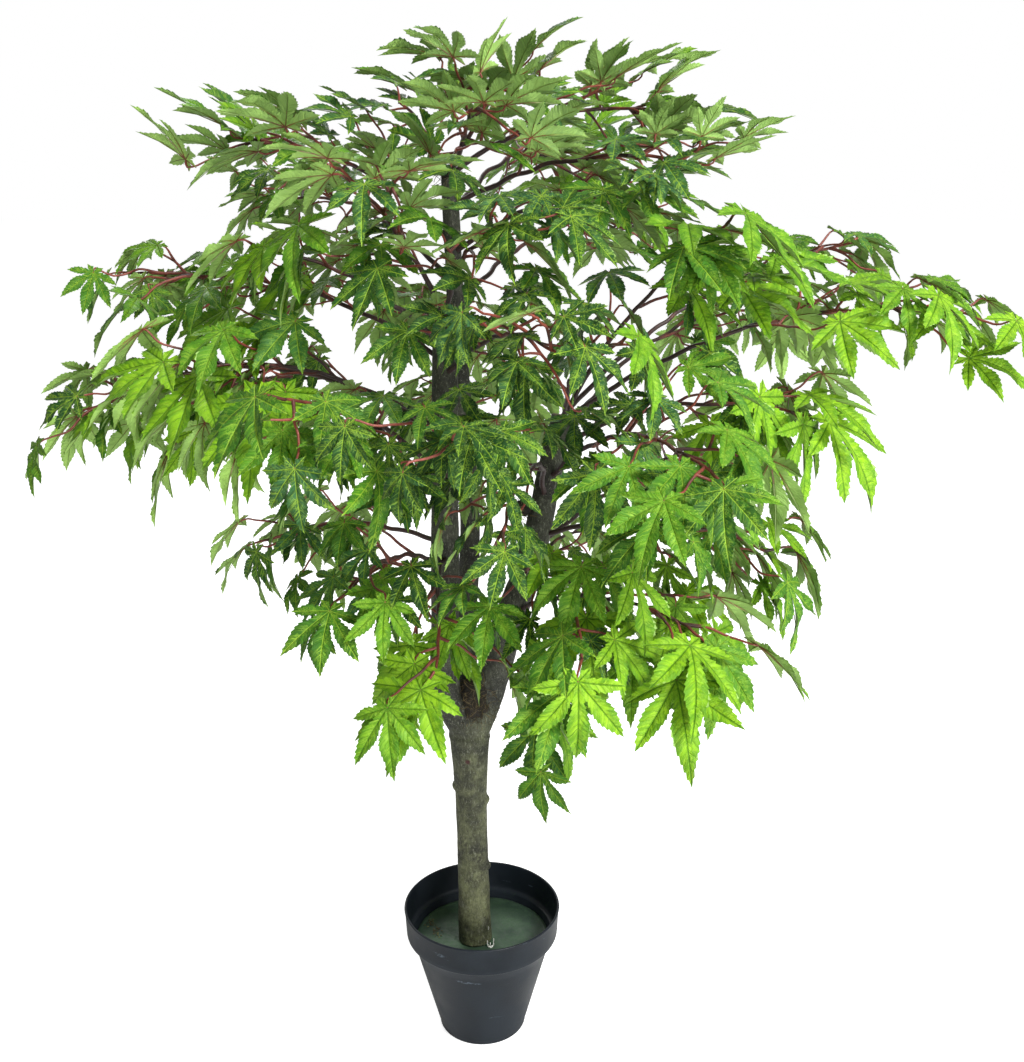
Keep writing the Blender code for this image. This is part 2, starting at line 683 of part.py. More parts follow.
class Grower:
    """Places the sprays one after another, each part only where it is clear and in its own space."""

    def __init__(self):
        self.solids = Solids()
        self.blade = leaf_blade()
        self.limbs = {}
        self.marks = {}

    def own_space(self, name, point):
        own = min((point - mark).length for mark in self.marks[name])
        return all(
            own < OWN_SPACE * (point - mark).length
            for other, marks in self.marks.items()
            if other != name
            for mark in marks
        )

    def add_wire(self, spray, rng):
        wire = seat(spray, self.solids, rng)
        bough = stretch(wire, 0.0, spray.bough, BOUGH_POINTS) if spray.bough else None
        foot = spray.bough + 1.5 * GAP / spray.length if spray.bough else 0.0
        limbs = Limbs(bough, stretch(wire, foot, 1.0, STEM_POINTS))
        self.limbs[spray.name] = limbs
        for limb in filter(None, limbs):
            self.solids.add(*prism(*limb))
        self.marks[spray.name] = stretch(wire, spray.bough or BARE, 1.0, 8).points

    def grow_leaf(self, spray, line, radii, ahead, scale, rng, tries=TRIES):
        """A leaf whose stalk starts with a line and ends in a petiole, or None where no try is clear."""
        for _ in range(tries):
            sway = SWAY * Vector((rng.uniform(-1, 1), rng.uniform(-1, 1), rng.uniform(-0.6, 1)))
            way = (ahead + sway).normalized()
            hub = line[-1] + PETIOLE_LENGTH * rng.uniform(0.7, 1.3) * way
            length = LARGER * scale * LEAF_LENGTH[spray.kind] * rng.uniform(0.9, 1.1)
            leaf = Leaf(line, radii, leaf_place(hub, way, spray, rng), length)
            middle = leaf.place @ Vector((0.5 * length, 0, 0))
            if way.dot(middle - hub) < STALK_BEHIND * length or before_fork(middle):
                continue
            if not self.own_space(spray.name, middle):
                continue
            if self.solids.hit(*leaf_solid(self.blade, from_root(leaf, ROOT_FREE), CLEAR)):
                continue
            self.solids.add(*leaf_solid(self.blade, from_root(leaf, ROOT_FREE / 2)))
            return leaf
        return None

    def grow_twig(self, spray, root, ahead, length, rng):
        """A side twig that sags to its end leaf, or None where no try is clear."""
        for _ in range(TRIES):
            sway = SWAY * Vector((rng.uniform(-1, 1), rng.uniform(-1, 1), rng.uniform(-1, 1)))
            way = (ahead + sway).normalized()
            middle = root + 0.5 * length * way
            onward = (way - 0.25 * Vector((0, 0, 1))).normalized()
            line = [root, middle, middle + 0.5 * length * onward]
            radii = [TWIG_RADIUS, TWIG_RADIUS, PETIOLE_RADIUS]
            twig = self.grow_leaf(spray, line, radii, onward, 1.05, rng, tries=2)
            if twig:
                return twig
        return None

    def grow_mass(self, spray, rng):
        """The leaves of one spray's mass: on its stem's tip, on side twigs and straight on the stem."""
        stem = self.limbs[spray.name].stem
        first = 0.03 if spray.bough else BARE
        tip, ahead, radius = along(*stem, 1.0)
        leaves = [self.grow_leaf(spray, [tip], [radius], ahead, 1.1, rng)]
        count = int((1 - (spray.bough or BARE)) * spray.length / TWIG_SPACING)
        for i in range(count):
            root, ahead, _ = along(*stem, first + (1 - first) * i / count)
            side = Vector((ahead.y, -ahead.x, 0)).normalized() * (-1) ** i
            tilt = math.radians(rng.uniform(-35, 50))
            out = math.cos(tilt) * side + math.sin(tilt) * Vector((0, 0, 1))
            angle = math.radians(TWIG_ANGLE)
            length = TWIG_LENGTH * (1 - 0.45 * i / count) * rng.uniform(0.85, 1.15)
            twig = self.grow_twig(spray, root, math.cos(angle) * ahead + math.sin(angle) * out, length, rng)
            if twig:
                root = twig.line[0].lerp(twig.line[1], 0.9)
                ahead = (twig.line[2] - twig.line[0]).normalized()
                out = (ahead - 0.9 * side + Vector((0, 0, 0.3))).normalized()
                leaves += [twig, self.grow_leaf(spray, [root], [PETIOLE_RADIUS], out, 0.95, rng)]
        for turn in (-1, 1) if spray.length > SHORT else (1,):
            root, ahead, _ = along(*stem, 0.87)
            out = Vector((ahead.y, -ahead.x, 0.2)).normalized() * turn
            way = (ahead + out).normalized()
            leaves.append(self.grow_leaf(spray, [root], [PETIOLE_RADIUS], way, 1.0, rng))
        return leaves


def spray_random(spray):
    return random.Random(101 * SPRAYS.index(spray) + 7)


def make_bough(spray, bough, collection):
    mesh = tube_mesh(*bough, 6)
    smooth(mesh)
    return add_object("bough_" + spray.name, mesh, collection, WIRE_BROWN)


def make_mass(spray, stem, leaves, blade, collection):
    """One spray's foliage: its stem with the leaf on its tip, and its other leaves on their stalks.

    Where the union doesn't close, the last leaf is left out and it is made again.
    """
    end, *others = leaves
    stalks = [end._replace(line=stem.points, radii=stem.radii)] if end else []
    stalks += [leaf for leaf in others if leaf]
    node = None
    while not node:
        pieces = [] if end else [loose(tube_mesh(*stem, 3))]
        for leaf in stalks:
            mesh = bpy.data.meshes.new("leaf")
            corners, faces = leaf_solid(blade, leaf)
            mesh.from_pydata(corners, [], faces)
            pieces.append(loose(mesh))
        node = join("leaves_" + spray.name, pieces, LEAF_GREEN[spray.kind], collection, solver="MANIFOLD")
        stalks.pop()


def mesh_polygons(obj):
    mesh = evaluated_mesh(obj)
    return [v.co.copy() for v in mesh.vertices], [tuple(f.vertices) for f in mesh.polygons]


def main():
    clear_scene()
    tree = new_collection("potted_maple")
    cutting = new_collection("cutters")
    three_sided_section(cutting)

    make_pot(tree)
    make_fill(tree)
    holders = [make_trunk(tree)]
    holders += [make_stem(name, tree) for name in STEMS]
    cutters = make_cutters(cutting)
    holders += [make_coir(name, tree, cutters.values()) for name in COIR]

    grower = Grower()
    for holder in holders:
        grower.solids.add(*mesh_polygons(holder))
    streams = {spray.name: spray_random(spray) for spray in SPRAYS}
    for spray in SPRAYS:
        grower.add_wire(spray, streams[spray.name])
    for spray in SPRAYS:
        leaves = grower.grow_mass(spray, streams[spray.name])
        bough, stem = grower.limbs[spray.name]
        if bough:
            make_bough(spray, bough, tree)
        make_mass(spray, stem, leaves, grower.blade, tree)


main()
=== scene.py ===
"""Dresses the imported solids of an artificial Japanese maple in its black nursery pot.

One operator makes each group of pieces: the pot, its set fill, the wood of the trunk and stems, the coir
tufts, the wires with their twigs, the leaves, and the stage. The sprays grow by the same seeded rule as the
solids, which a second, finer growth then fills out. All sizes are in metres, +Z up.
"""

import functools
import json
import math
import random
from collections import namedtuple

import bmesh
import bpy
import numpy as np
from bpy.props import FloatProperty, FloatVectorProperty, IntProperty, PointerProperty
from mathutils import Matrix, Vector, noise
from mathutils.bvhtree import BVHTree

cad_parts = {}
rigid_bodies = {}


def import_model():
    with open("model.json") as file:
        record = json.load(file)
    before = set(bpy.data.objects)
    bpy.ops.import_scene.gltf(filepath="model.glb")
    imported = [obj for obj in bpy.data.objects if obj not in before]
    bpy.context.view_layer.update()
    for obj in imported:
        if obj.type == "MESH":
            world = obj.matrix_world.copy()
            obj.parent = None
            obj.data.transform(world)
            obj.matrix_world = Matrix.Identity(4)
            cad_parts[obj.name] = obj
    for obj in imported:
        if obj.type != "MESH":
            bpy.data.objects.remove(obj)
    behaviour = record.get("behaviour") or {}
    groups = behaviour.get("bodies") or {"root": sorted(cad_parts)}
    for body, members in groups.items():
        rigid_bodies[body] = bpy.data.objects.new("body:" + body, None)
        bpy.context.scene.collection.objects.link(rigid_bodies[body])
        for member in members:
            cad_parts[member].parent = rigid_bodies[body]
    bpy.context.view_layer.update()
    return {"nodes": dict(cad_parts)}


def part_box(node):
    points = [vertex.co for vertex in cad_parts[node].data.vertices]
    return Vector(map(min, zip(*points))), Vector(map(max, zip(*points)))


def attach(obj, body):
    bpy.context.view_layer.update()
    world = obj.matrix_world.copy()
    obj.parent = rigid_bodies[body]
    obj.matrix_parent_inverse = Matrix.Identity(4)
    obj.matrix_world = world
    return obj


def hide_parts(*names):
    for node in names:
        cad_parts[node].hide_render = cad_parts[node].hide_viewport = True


bl_info = {
    "name": "Potted Japanese maple",
    "version": (1, 0, 0),
    "blender": (4, 5, 0),
    "location": "3D View > Sidebar > Maple",
    "description": "Dresses the solids of an artificial Japanese maple in its nursery pot",
    "category": "Add Mesh",
}

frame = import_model()

GAP = 0.0003

# Pot and fill, as their solids
POT_HEIGHT = 0.155
RIM_RADIUS = 0.090
COLLAR_HEIGHT = 0.037
COLLAR_FOOT_RADIUS = 0.0875
BODY_RADIUS = 0.081
FOOT_RADIUS = 0.0495
WALL = 0.0015
LIP = 0.0028
FILL_TOP = 0.111
FILL_FOOT = 0.0023
FILL_RINGS = 26
FILL_CREEP = 0.006               # how far from the pot's wall the fill starts to rise
POT_STEPS, FILL_STEPS = 160, 120
POT_CREASE = 50                  # degrees from which an edge is a sharp one

# Trunk and stems: centre lines, with the radius at the first and at the last point
FORK = (-0.012, 0.0, 0.372)
TRUNK_LINE = ((-0.008, -0.004, FILL_TOP + GAP), (-0.0095, -0.003, 0.20), (-0.0113, 0.0, 0.30), FORK)
TRUNK_RADII = (0.0195, 0.0175, 0.0180, 0.0225)
STEMS = {
    "left": (
        (FORK, (-0.029, -0.006, 0.405), (-0.0378, -0.010, 0.435), (-0.037, -0.015, 0.489),
         (-0.034, -0.020, 0.646), (-0.0326, -0.020, 0.750), (-0.031, -0.020, 0.827)),
        (0.0180, 0.0125),
    ),
    "rear": (
        (FORK, (-0.0125, 0.014, 0.410), (-0.0158, 0.022, 0.475), (-0.0104, 0.030, 0.610),
         (-0.0177, 0.036, 0.740), (-0.0238, 0.040, 0.854), (-0.0286, 0.045, 0.965)),
        (0.0130, 0.0085),
    ),
    "right": (
        (FORK, (0.0086, 0.0, 0.424), (0.0318, 0.0, 0.506), (0.0521, 0.0, 0.563),
         (0.0625, 0.0, 0.608), (0.0758, 0.005, 0.677), (0.0879, 0.010, 0.729)),
        (0.0200, 0.0115),
    ),
}
KNOTS = (                        # knobs: the limb, azimuth, height, radius
    ("trunk", 180, 0.305, 0.0052),
    ("trunk", 0, 0.288, 0.0050),
    ("trunk", -10, 0.207, 0.0046),
    ("right", -20, 0.547, 0.0065),
)

FORK_SWELL = (0.0228, 0.0202, 0.024)  # half sizes of the swelling where the arms part
FORK_SWELL_DROP = 0.001
SCAR = (-0.0139, -0.0208, 0.347)      # middle of the small scar on the trunk's front
SCAR_SIZE = 0.0042
TOP_REACH = (0.016, 0.005)            # how far a stem's cut top lies from its last point, and in height
BARK_LUMPS = (38, 26)                 # the bark's forms, in turns a metre across and upright
BARK_WRINKLES = (330, 52)
BARK_RINGS = (90, 420)

# Coir tufts: centre and half sizes
COIR = {
    "coir_fork": ((-0.004, -0.010, 0.418), (0.019, 0.016, 0.030)),
    "coir_left": ((-0.031, -0.020, 0.829), (0.012, 0.012, 0.008)),
    "coir_rear": ((-0.0286, 0.045, 0.967), (0.0095, 0.0095, 0.009)),
    "coir_right": ((0.046, -0.008, 0.634), (0.010, 0.009, 0.010)),
}

# Sprays: the stem that holds each, the height of its hole, where it points, its length, how far its rise
# sinks from end to end, the share of it that is a bare bough, and its leaves' tone
Spray = namedtuple("Spray", "name stem height azimuth rise length sag bough tone")
SPRAYS = [
    Spray(*row)
    for row in (
        ("top_front", "rear", 0.965, 284, 38, 0.15, 35, 0, "mid"),
        ("top", "rear", 0.965, 320, 60, 0.095, 25, 0, "mid"),
        ("top_left", "rear", 0.965, 136, 60, 0.095, 30, 0, "dark"),
        ("top_right", "rear", 0.965, 1, 40, 0.22, 50, 0, "mid"),
        ("top_right_low", "rear", 0.935, 337, 29, 0.25, 40, 0, "dark"),
        ("top_back", "rear", 0.920, 73, 34, 0.31, 45, 0.45, "mid"),
        ("upper_left", "rear", 0.900, 189, 47, 0.20, 40, 0, "mid"),
        ("upper_mid_right", "rear", 0.890, 321, 33, 0.20, 35, 0, "mid"),
        ("back_left", "rear", 0.860, 133, 35, 0.33, 45, 0.45, "dark"),
        ("back_right", "rear", 0.840, 49, 32, 0.36, 45, 0.45, "mid"),
        ("back_low", "rear", 0.600, 94, 37, 0.33, 45, 0, "bright"),
        ("back_low_left", "rear", 0.680, 150, 32, 0.34, 50, 0.45, "mid"),
        ("back_mid", "rear", 0.740, 100, 33, 0.30, 45, 0, "mid"),
        ("crown_left", "left", 0.827, 243, 56, 0.21, 30, 0, "mid"),
        ("crown_side", "left", 0.800, 200, 46, 0.19, 35, 0, "mid"),
        ("crown_front", "left", 0.827, 287, 44, 0.21, 35, 0, "mid"),
        ("left", "left", 0.690, 205, 50, 0.26, 58, 0.45, "bright"),
        ("far_left", "left", 0.715, 175, 32, 0.37, 60, 0.50, "mid"),
        ("left_high", "left", 0.790, 165, 30, 0.33, 35, 0, "dark"),
        ("left_front", "left", 0.670, 238, 40, 0.25, 30, 0, "mid"),
        ("left_low", "left", 0.600, 172, 16, 0.18, 40, 0, "dark"),
        ("left_low_front", "left", 0.570, 248, 33, 0.18, 50, 0, "dark"),
        ("hanging_left", "left", 0.585, 270, 3, 0.17, 45, 0, "bright"),
        ("front", "left", 0.775, 294, 31, 0.27, 40, 0, "dark"),
        ("front_low", "left", 0.660, 274, 39, 0.28, 40, 0, "dark"),
        ("right_high", "right", 0.729, 316, 60, 0.28, 30, 0, "bright"),
        ("mid_right", "right", 0.710, 280, 44, 0.25, 35, 0, "mid"),
        ("far_right", "right", 0.720, 354, 40, 0.385, 45, 0.50, "mid"),
        ("upper_right", "right", 0.729, 17, 45, 0.36, 35, 0.50, "dark"),
        ("right", "right", 0.690, 334, 36, 0.26, 50, 0.45, "bright"),
        ("right_front", "right", 0.660, 292, 38, 0.32, 50, 0, "mid"),
        ("right_low", "right", 0.600, 339, 23, 0.23, 45, 0, "mid"),
        ("right_low_front", "right", 0.510, 309, 34, 0.27, 50, 0, "bright"),
        ("centre_low", "right", 0.560, 280, 34, 0.26, 70, 0, "mid"),
        ("centre", "right", 0.640, 262, 42, 0.28, 70, 0, "dark"),
        ("right_back", "right", 0.700, 41, 40, 0.35, 45, 0.45, "mid"),
        ("right_back_low", "right", 0.580, 42, 32, 0.34, 50, 0.40, "dark"),
        ("back_low_right", "right", 0.500, 68, 26, 0.29, 45, 0, "mid"),
        ("low", "right", 0.440, 18, -8, 0.06, 75, 0, "bright"),
    )
]
TONES = ("bright", "mid", "dark")

# Growth rule of a spray, as its solids
WIRE_RADIUS = 0.0028
WIRE_TIP_RADIUS = 0.0013
WIRE_POINTS = 12
BOUGH_POINTS = 5
STEM_POINTS = 7
BARE = 0.28
NEAR_STEM = 0.025
WANDER = 7
TWIG_SPACING = 0.0525
TWIG_LENGTH = 0.085
TWIG_RADIUS = 0.0013
TWIG_ANGLE = 50
WIRE_SUNK = 0.012                # how far a wire runs on into the wood
PETIOLE_LENGTH = 0.026
PETIOLE_RADIUS = 0.0011
LARGER = 1.14                    # a solid leaf's size over the leaf that it stands for
LEAF_LENGTH = {"bright": 0.083, "mid": 0.073, "dark": 0.062}
LEAF_THICKNESS = 0.03
LEAF_ARCH = 0.14
DROOP_LOW, DROOP_HIGH = 60, -38  # degrees below level of the lowest and the highest leaves
DROOP_SPREAD = 26                # how much a leaf's droop differs from that
CROWN_FOOT, CROWN_TOP = 0.45, 1.05
OWN_SPACE = 1.60
FORK_OPEN = (0.050, 0.32, 0.45)  # half width, foot and top of the space before the fork that stays open
FORK_SLOPE = 0.49                # how much higher that space is for each metre in front of the fork
PAIR_PLACE = 0.87                # where the last two side leaves stand, of their stem's length
OPPOSITE_PLACE = 0.9             # where a twig's own side leaf stands, of the twig's first half
SHORT = 0.07                     # a spray this short has one side leaf
CLEAR = 0.0008
STALK_BEHIND = 0.08
ROOT_FREE = 0.35
SWAY = 0.4
TRIES = 30
SOLID_LOBES = ((0, 1.0), (38, 0.88), (80, 0.62))
SOLID_NOTCHES = ((19, 0.34), (59, 0.30))
SOLID_FOOT = (153, 0.045)

# The finer growth: short twigs between the ones of the solids, within the reach of the same mass
FINE_SPACING = 0.019
FINE_TWIG = 0.050
FINE_TRIES = 14
FINE_LOOSE = 1.5                 # how much more freely than the solids' leaves these ones turn
UPRIGHT = 70                     # how many degrees further up the loosest of them stand at the top
FINE_REACH = 0.008               # how far past its mass's solid a leaf's tip may come

# Leaf in life: each lobe's angle, length, half width and saw teeth a side; each slit's angle and foot
Lobe = namedtuple("Lobe", "angle length width teeth")
LOBES = (
    Lobe(0, 1.0, 0.130, 12),
    Lobe(38, 0.87, 0.118, 10),
    Lobe(80, 0.57, 0.084, 6),
    Lobe(136, 0.25, 0.048, 2),
)
SLITS = ((19, 0.19), (59, 0.17), (108, 0.10), (180, 0.03))
SLIT_WIDTH = 0.006
LEAF_SAG = 0.12                  # how far the lobes' tips hang, of the leaf's length
LOBE_FORM = (
    (0.0, 0.12, 0.2, 0.3, 0.42, 0.53, 0.65, 0.77, 0.89, 1.0),
    (0.2, 0.3, 0.38, 0.55, 0.86, 1.0, 0.90, 0.62, 0.28, 0.0),
)
LEAF_SHAPES = 12
LEAF_CREASE = 34                 # degrees from which a fold is a sharp one
TOOTH_DEPTH, TOOTH_LEAN = 0.26, 0.88     # of the edge that a saw tooth stands on
RIB_HALF_WIDTHS = (0.0090, 0.0072, 0.0052, 0.0032)   # from the hub to near the lobe's tip
RIB_START, RIB_THIN, RIB_END = 0.004, 0.88, 0.96     # the first one in, the others of the lobe's length
BOSS_RADIUS, BOSS_HEIGHT = 0.017, 0.011
STALK_BACK, STALK_UNDER = 0.0075, 0.0035  # where a stalk's last bend lies from the leaf's hub

# Glue at the trunk's foot: three points of each string, and its radius
GLUE_STRINGS = (
    ((0.0072, -0.0205, 0.1125), (0.0062, -0.0210, 0.1155), (0.0066, -0.0202, 0.1195), 0.0006),
    ((0.0070, -0.0208, 0.1120), (0.0100, -0.0218, 0.1116), (0.0128, -0.0203, 0.1121), 0.0009),
    ((0.0098, -0.0214, 0.1118), (0.0103, -0.0212, 0.1140), (0.0100, -0.0204, 0.1165), 0.0006),
    ((0.0126, -0.0200, 0.1120), (0.0138, -0.0190, 0.1150), (0.0134, -0.0174, 0.1200), 0.0006),
    ((0.0075, -0.0195, 0.1330), (0.0078, -0.0197, 0.1350), (0.0078, -0.0196, 0.1375), 0.0006),
)
BALL_ROUGHNESS, BALL_GRAIN = 0.22, 160
CRUMBS = 80
CRUMBS_FROM, CRUMBS_TO = (-0.064, 0.030), (-0.050, 0.000)

# How bright a leaf's print is, from 0 dark to 1 bright, by the tone of its spray and its place in the crown
TONE_LEVEL = {"bright": 0.74, "mid": 0.46, "dark": 0.16}
CROWN_RADIUS = 0.34
OUTER_BRIGHTER = 0.55
LEVEL_SPREAD = 0.20
BRIGHTER = {                     # sprays whose leaves are brighter or darker than their tone
    "top": 0.20, "top_right": 0.15, "top_front": 0.10, "top_back": 0.10, "crown_side": 0.25,
    "left_high": 0.20, "far_right": 0.20, "upper_right": 0.20, "right_low": 0.15, "left_low": 0.20,
    "left_low_front": 0.20, "back_low_right": 0.10, "hanging_left": 0.15, "centre_low": 0.10, "low": 0.10,
    "front": -0.25, "front_low": -0.25, "mid_right": -0.30, "right_front": -0.20, "back_low": -0.30,
    "back_low_left": -0.10, "right_back_low": -0.10, "centre": -0.25, "crown_front": -0.20,
}
DARK_SMALLER = 0.20              # how much smaller the darkest leaves are than the brightest

COIR_CORE = 0.86                 # a tuft's packed core over its solid
FIBRE_SHORTEST, FIBRE_LONGEST = 0.45, 1.15       # of the set length

# Camera, and lamps: each one's place, width and power over the key lamp's
CAMERA_PLACE = (0.035, -1.218, 0.965)
CAMERA_PITCH = 16.39             # degrees below level
CAMERA_LENS = 40.68              # in mm
CAMERA_NEAREST = 0.05
LAMPS = {
    "key": ((1.7, -1.9, 2.9), 0.9, 1.0),
    "fill": ((1.2, -2.6, 0.35), 1.8, 0.58),
    "back": ((-0.8, 2.4, 2.6), 1.8, 0.30),
}
LAMPS_AIM = (0, 0, 0.6)
FLOOR_RADIUS = 30.0
FLOOR_DROP = 0.0004


# Settings

def size(name, text, default, low=0.0):
    return FloatProperty(
        name=name, description=text, default=default, min=low, subtype="DISTANCE", unit="LENGTH",
    )


def share(name, text, default, low=0.0, high=1.0):
    return FloatProperty(name=name, description=text, default=default, min=low, max=high, subtype="FACTOR")


def colour(name, text, default):
    return FloatVectorProperty(
        name=name, description=text, default=default, size=3, min=0.0, max=1.0, subtype="COLOR",
    )


class PotSettings(bpy.types.PropertyGroup):
    """The pot's plastic and its set fill."""

    # The plastic and its dust are tinted blue: real dust, and partly painted reflection of the pale sky on
    # the dark pot.
    plastic: colour("Plastic", "Colour of the moulded plastic", (0.0070, 0.0100, 0.0140))
    dust_and_sheen: colour("Dust", "Colour of the dust and scuffs on it", (0.050, 0.066, 0.084))
    roughness: share("Roughness", "How matt the plastic is", 0.46)
    fill: colour("Fill", "Colour of the set fill", (0.050, 0.096, 0.052))
    # Painted shade in part: the colour of the shadowed fill.
    fill_shade: colour("Fill shade", "Colour of its darker patches", (0.014, 0.034, 0.021))
    wave: size("Fill wave", "How uneven the fill's surface is", 0.0008)


class WoodSettings(bpy.types.PropertyGroup):
    """The bark of the trunk and its stems."""

    trunk: colour("Trunk", "Colour of the trunk's bark", (0.088, 0.096, 0.044))
    stem: colour("Stems", "Colour of the stems' bark higher up", (0.030, 0.032, 0.021))
    stain: colour("Stains", "Colour of the dark stains", (0.020, 0.018, 0.012))
    pale: colour("Pale bark", "Colour of the pale, worn patches", (0.300, 0.310, 0.230))
    scar: colour("Scar", "Colour of the scar under the fork", (0.040, 0.009, 0.007))
    cut: colour("Cut wood", "Colour of the cut ends", (0.210, 0.150, 0.085))
    lump: size("Lumps", "Height of the bark's lumps", 0.0009)
    wrinkle: size("Wrinkles", "Height of the bark's upright wrinkles", 0.00035)
    detail: size("Detail", "Size of the faces that the bark is made of", 0.0015, 0.001)


class CoirSettings(bpy.types.PropertyGroup):
    """The tufts of coir."""

    # Both colours are darker than dry coir: partly painted shade, for tufts that sit shaded under the crown;
    # the near-black core is painted shade among the fibres.
    fibre: colour("Fibre", "Colour of the dry fibres", (0.120, 0.088, 0.036))
    core: colour("Core", "Colour of the packed fibres inside", (0.010, 0.008, 0.005))
    length: size("Fibre length", "Length of a loose fibre", 0.014)
    density: FloatProperty(
        name="Fibres", description="Loose fibres to each square metre of a tuft", default=70000.0, min=0.0,
    )


class WireSettings(bpy.types.PropertyGroup):
    """The wires, twigs and leaf stalks."""

    wire: colour("Wire", "Colour of the thick wires", (0.030, 0.013, 0.011))
    twig: colour("Twig", "Colour of the thin twigs and stalks", (0.290, 0.062, 0.038))
    kink: size("Kinks", "How far a wire bends off its line", 0.0022)
    kink_length: size("Kink length", "Length of one bend", 0.034, 0.001)


class LeafSettings(bpy.types.PropertyGroup):
    """The leaves' print and relief."""

    bright: colour("Bright leaves", "Colour of the young yellow-green leaves", (0.235, 0.460, 0.012))
    mid: colour("Middle leaves", "Colour of the middle green leaves", (0.058, 0.195, 0.010))
    dark: colour("Dark leaves", "Colour of the dark leaves", (0.016, 0.074, 0.012))
    # A blue-green tint that stands in for the bluish sheen on dark leaves: painted reflection.
    teal_sheen: colour("Blue-green leaves", "Colour of the few blue-green leaves", (0.044, 0.142, 0.060))
    lime: colour("Lime streaks", "Colour printed along the ribs", (0.330, 0.520, 0.045))
    shade: colour("Dark print", "Colour printed along the side veins", (0.006, 0.038, 0.006))
    # The undersides' own paler colour, made brighter still: partly painted light, the glow of light through
    # the thin leaves.
    pale: colour("Pale underside", "Colour that the undersides fade to", (0.370, 0.570, 0.160))
    rib: colour("Ribs", "Colour of the moulded ribs by a leaf's hub", (0.190, 0.050, 0.022))
    rib_end: colour("Rib ends", "Colour of the ribs along the lobes", (0.150, 0.230, 0.040))
    fold: share("Fold", "How steeply a lobe's halves rise from its rib", 0.42)
    thickness: share("Thickness", "Thickness of a leaf, as a share of its length", 0.012)
    veins: IntProperty(name="Veins", description="Side veins along one leaf's length", default=15, min=1)


class StageSettings(bpy.types.PropertyGroup):
    """The floor, the lamps and the camera."""

    floor: colour("Floor", "Colour of the floor", (0.80, 0.80, 0.80))
    white: share("White", "How bright the floor and the backdrop look far off", 1.0)
    sky: FloatProperty(
        name="Sky", description="Strength of the soft light from all round", default=0.40, min=0.0,
    )
    lamp: FloatProperty(
        name="Lamp", description="Power of the large soft lamp", default=132.0, min=0.0, unit="POWER",
    )


# Node trees

FLOAT, VECTOR, MESH = "NodeSocketFloat", "NodeSocketVector", "NodeSocketGeometry"
MATERIAL, COLLECTION, WHOLE = "NodeSocketMaterial", "NodeSocketCollection", "NodeSocketInt"
NODE_STEP = 200                  # how far apart a tree's nodes lie in its editor
WHITE = (1.0, 1.0, 1.0, 1.0)


def rgba(value):
    return (*value, 1.0)


class Tree:
    """Adds nodes to a node tree from left to right, and joins to each input the output it is given."""

    def __init__(self, tree):
        self.tree = tree

    def join(self, value, node, key):
        if isinstance(value, bpy.types.NodeSocket):
            self.tree.links.new(value, node.inputs[key])
        else:
            node.inputs[key].default_value = value

    def add(self, kind, inputs=None, **settings):
        node = self.tree.nodes.new(kind)
        node.location = (NODE_STEP * len(self.tree.nodes), 0)
        for name, value in settings.items():
            setattr(node, name, value)
        for key, value in (inputs or {}).items():
            self.join(value, node, key)
        return node

    def first(self, kind, inputs=None, **settings):
        """The first output of a new node."""
        return self.add(kind, inputs, **settings).outputs[0]

    def group(self, group, inputs):
        kind = "ShaderNodeGroup" if self.tree.type == "SHADER" else "GeometryNodeGroup"
        return self.add(kind, inputs, node_tree=group).outputs

    def math(self, operation, a, b=0.0, c=0.0):
        return self.first("ShaderNodeMath", {0: a, 1: b, 2: c}, operation=operation)

    def times(self, a, b):
        return self.math("MULTIPLY", a, b)

    def vector(self, operation, a, b=(0, 0, 0)):
        return self.first("ShaderNodeVectorMath", {0: a, 1: b}, operation=operation)

    def scaled(self, vector, factor):
        return self.first("ShaderNodeVectorMath", {0: vector, "Scale": factor}, operation="SCALE")

    def ramp(self, value, low, high, first=0.0, last=1.0):
        """A value that runs smoothly from first to last while another runs from low to high."""
        inputs = {0: value, 1: low, 2: high, 3: first, 4: last}
        return self.first("ShaderNodeMapRange", inputs, interpolation_type="SMOOTHSTEP")

    def mix(self, amount, a, b):
        """A colour between two others, each an output or a plain colour."""
        colours = [c if isinstance(c, bpy.types.NodeSocket) else rgba(c) for c in (a, b)]
        inputs = {0: amount, 6: colours[0], 7: colours[1]}
        return self.add("ShaderNodeMix", inputs, data_type="RGBA").outputs[2]

    def lay(self, tone, *layers):
        """A tone with colours laid over it one after another, each by its mask and its strength."""
        for mask, strength, over in layers:
            tone = self.mix(self.times(mask, strength), tone, over)
        return tone

    def noise(self, vector, scale, detail=3.0, roughness=0.5):
        inputs = {"Vector": vector, "Scale": scale, "Detail": detail, "Roughness": roughness}
        return self.first("ShaderNodeTexNoise", inputs)

    def carried(self, name):
        """In a material, a number that the mesh's points carry."""
        return self.add("ShaderNodeAttribute", attribute_name=name).outputs["Fac"]

    def named(self, name, kind="FLOAT"):
        """In a geometry tree, a value that the mesh's points or faces carry."""
        return self.first("GeometryNodeInputNamedAttribute", {"Name": name}, data_type=kind)

    def camera_ray(self):
        return self.add("ShaderNodeLightPath").outputs["Is Camera Ray"]

    def mesh(self, kind, mesh, **inputs):
        """The mesh or curve that a node makes of another one."""
        return self.first("GeometryNode" + kind, {0: mesh, **inputs})


def node_group(kind, name, inputs, outputs):
    """An empty group with its sockets, its tree and the sockets at both its ends."""
    group = bpy.data.node_groups.new(name, kind)
    for socket, socket_type in inputs.items():
        group.interface.new_socket(socket, in_out="INPUT", socket_type=socket_type)
    for socket, socket_type in outputs.items():
        group.interface.new_socket(socket, in_out="OUTPUT", socket_type=socket_type)
    tree = Tree(group)
    return group, tree, tree.add("NodeGroupInput").outputs, tree.add("NodeGroupOutput")


def finish_group(tree, end, values):
    for socket, value in values.items():
        tree.join(value, end, socket)


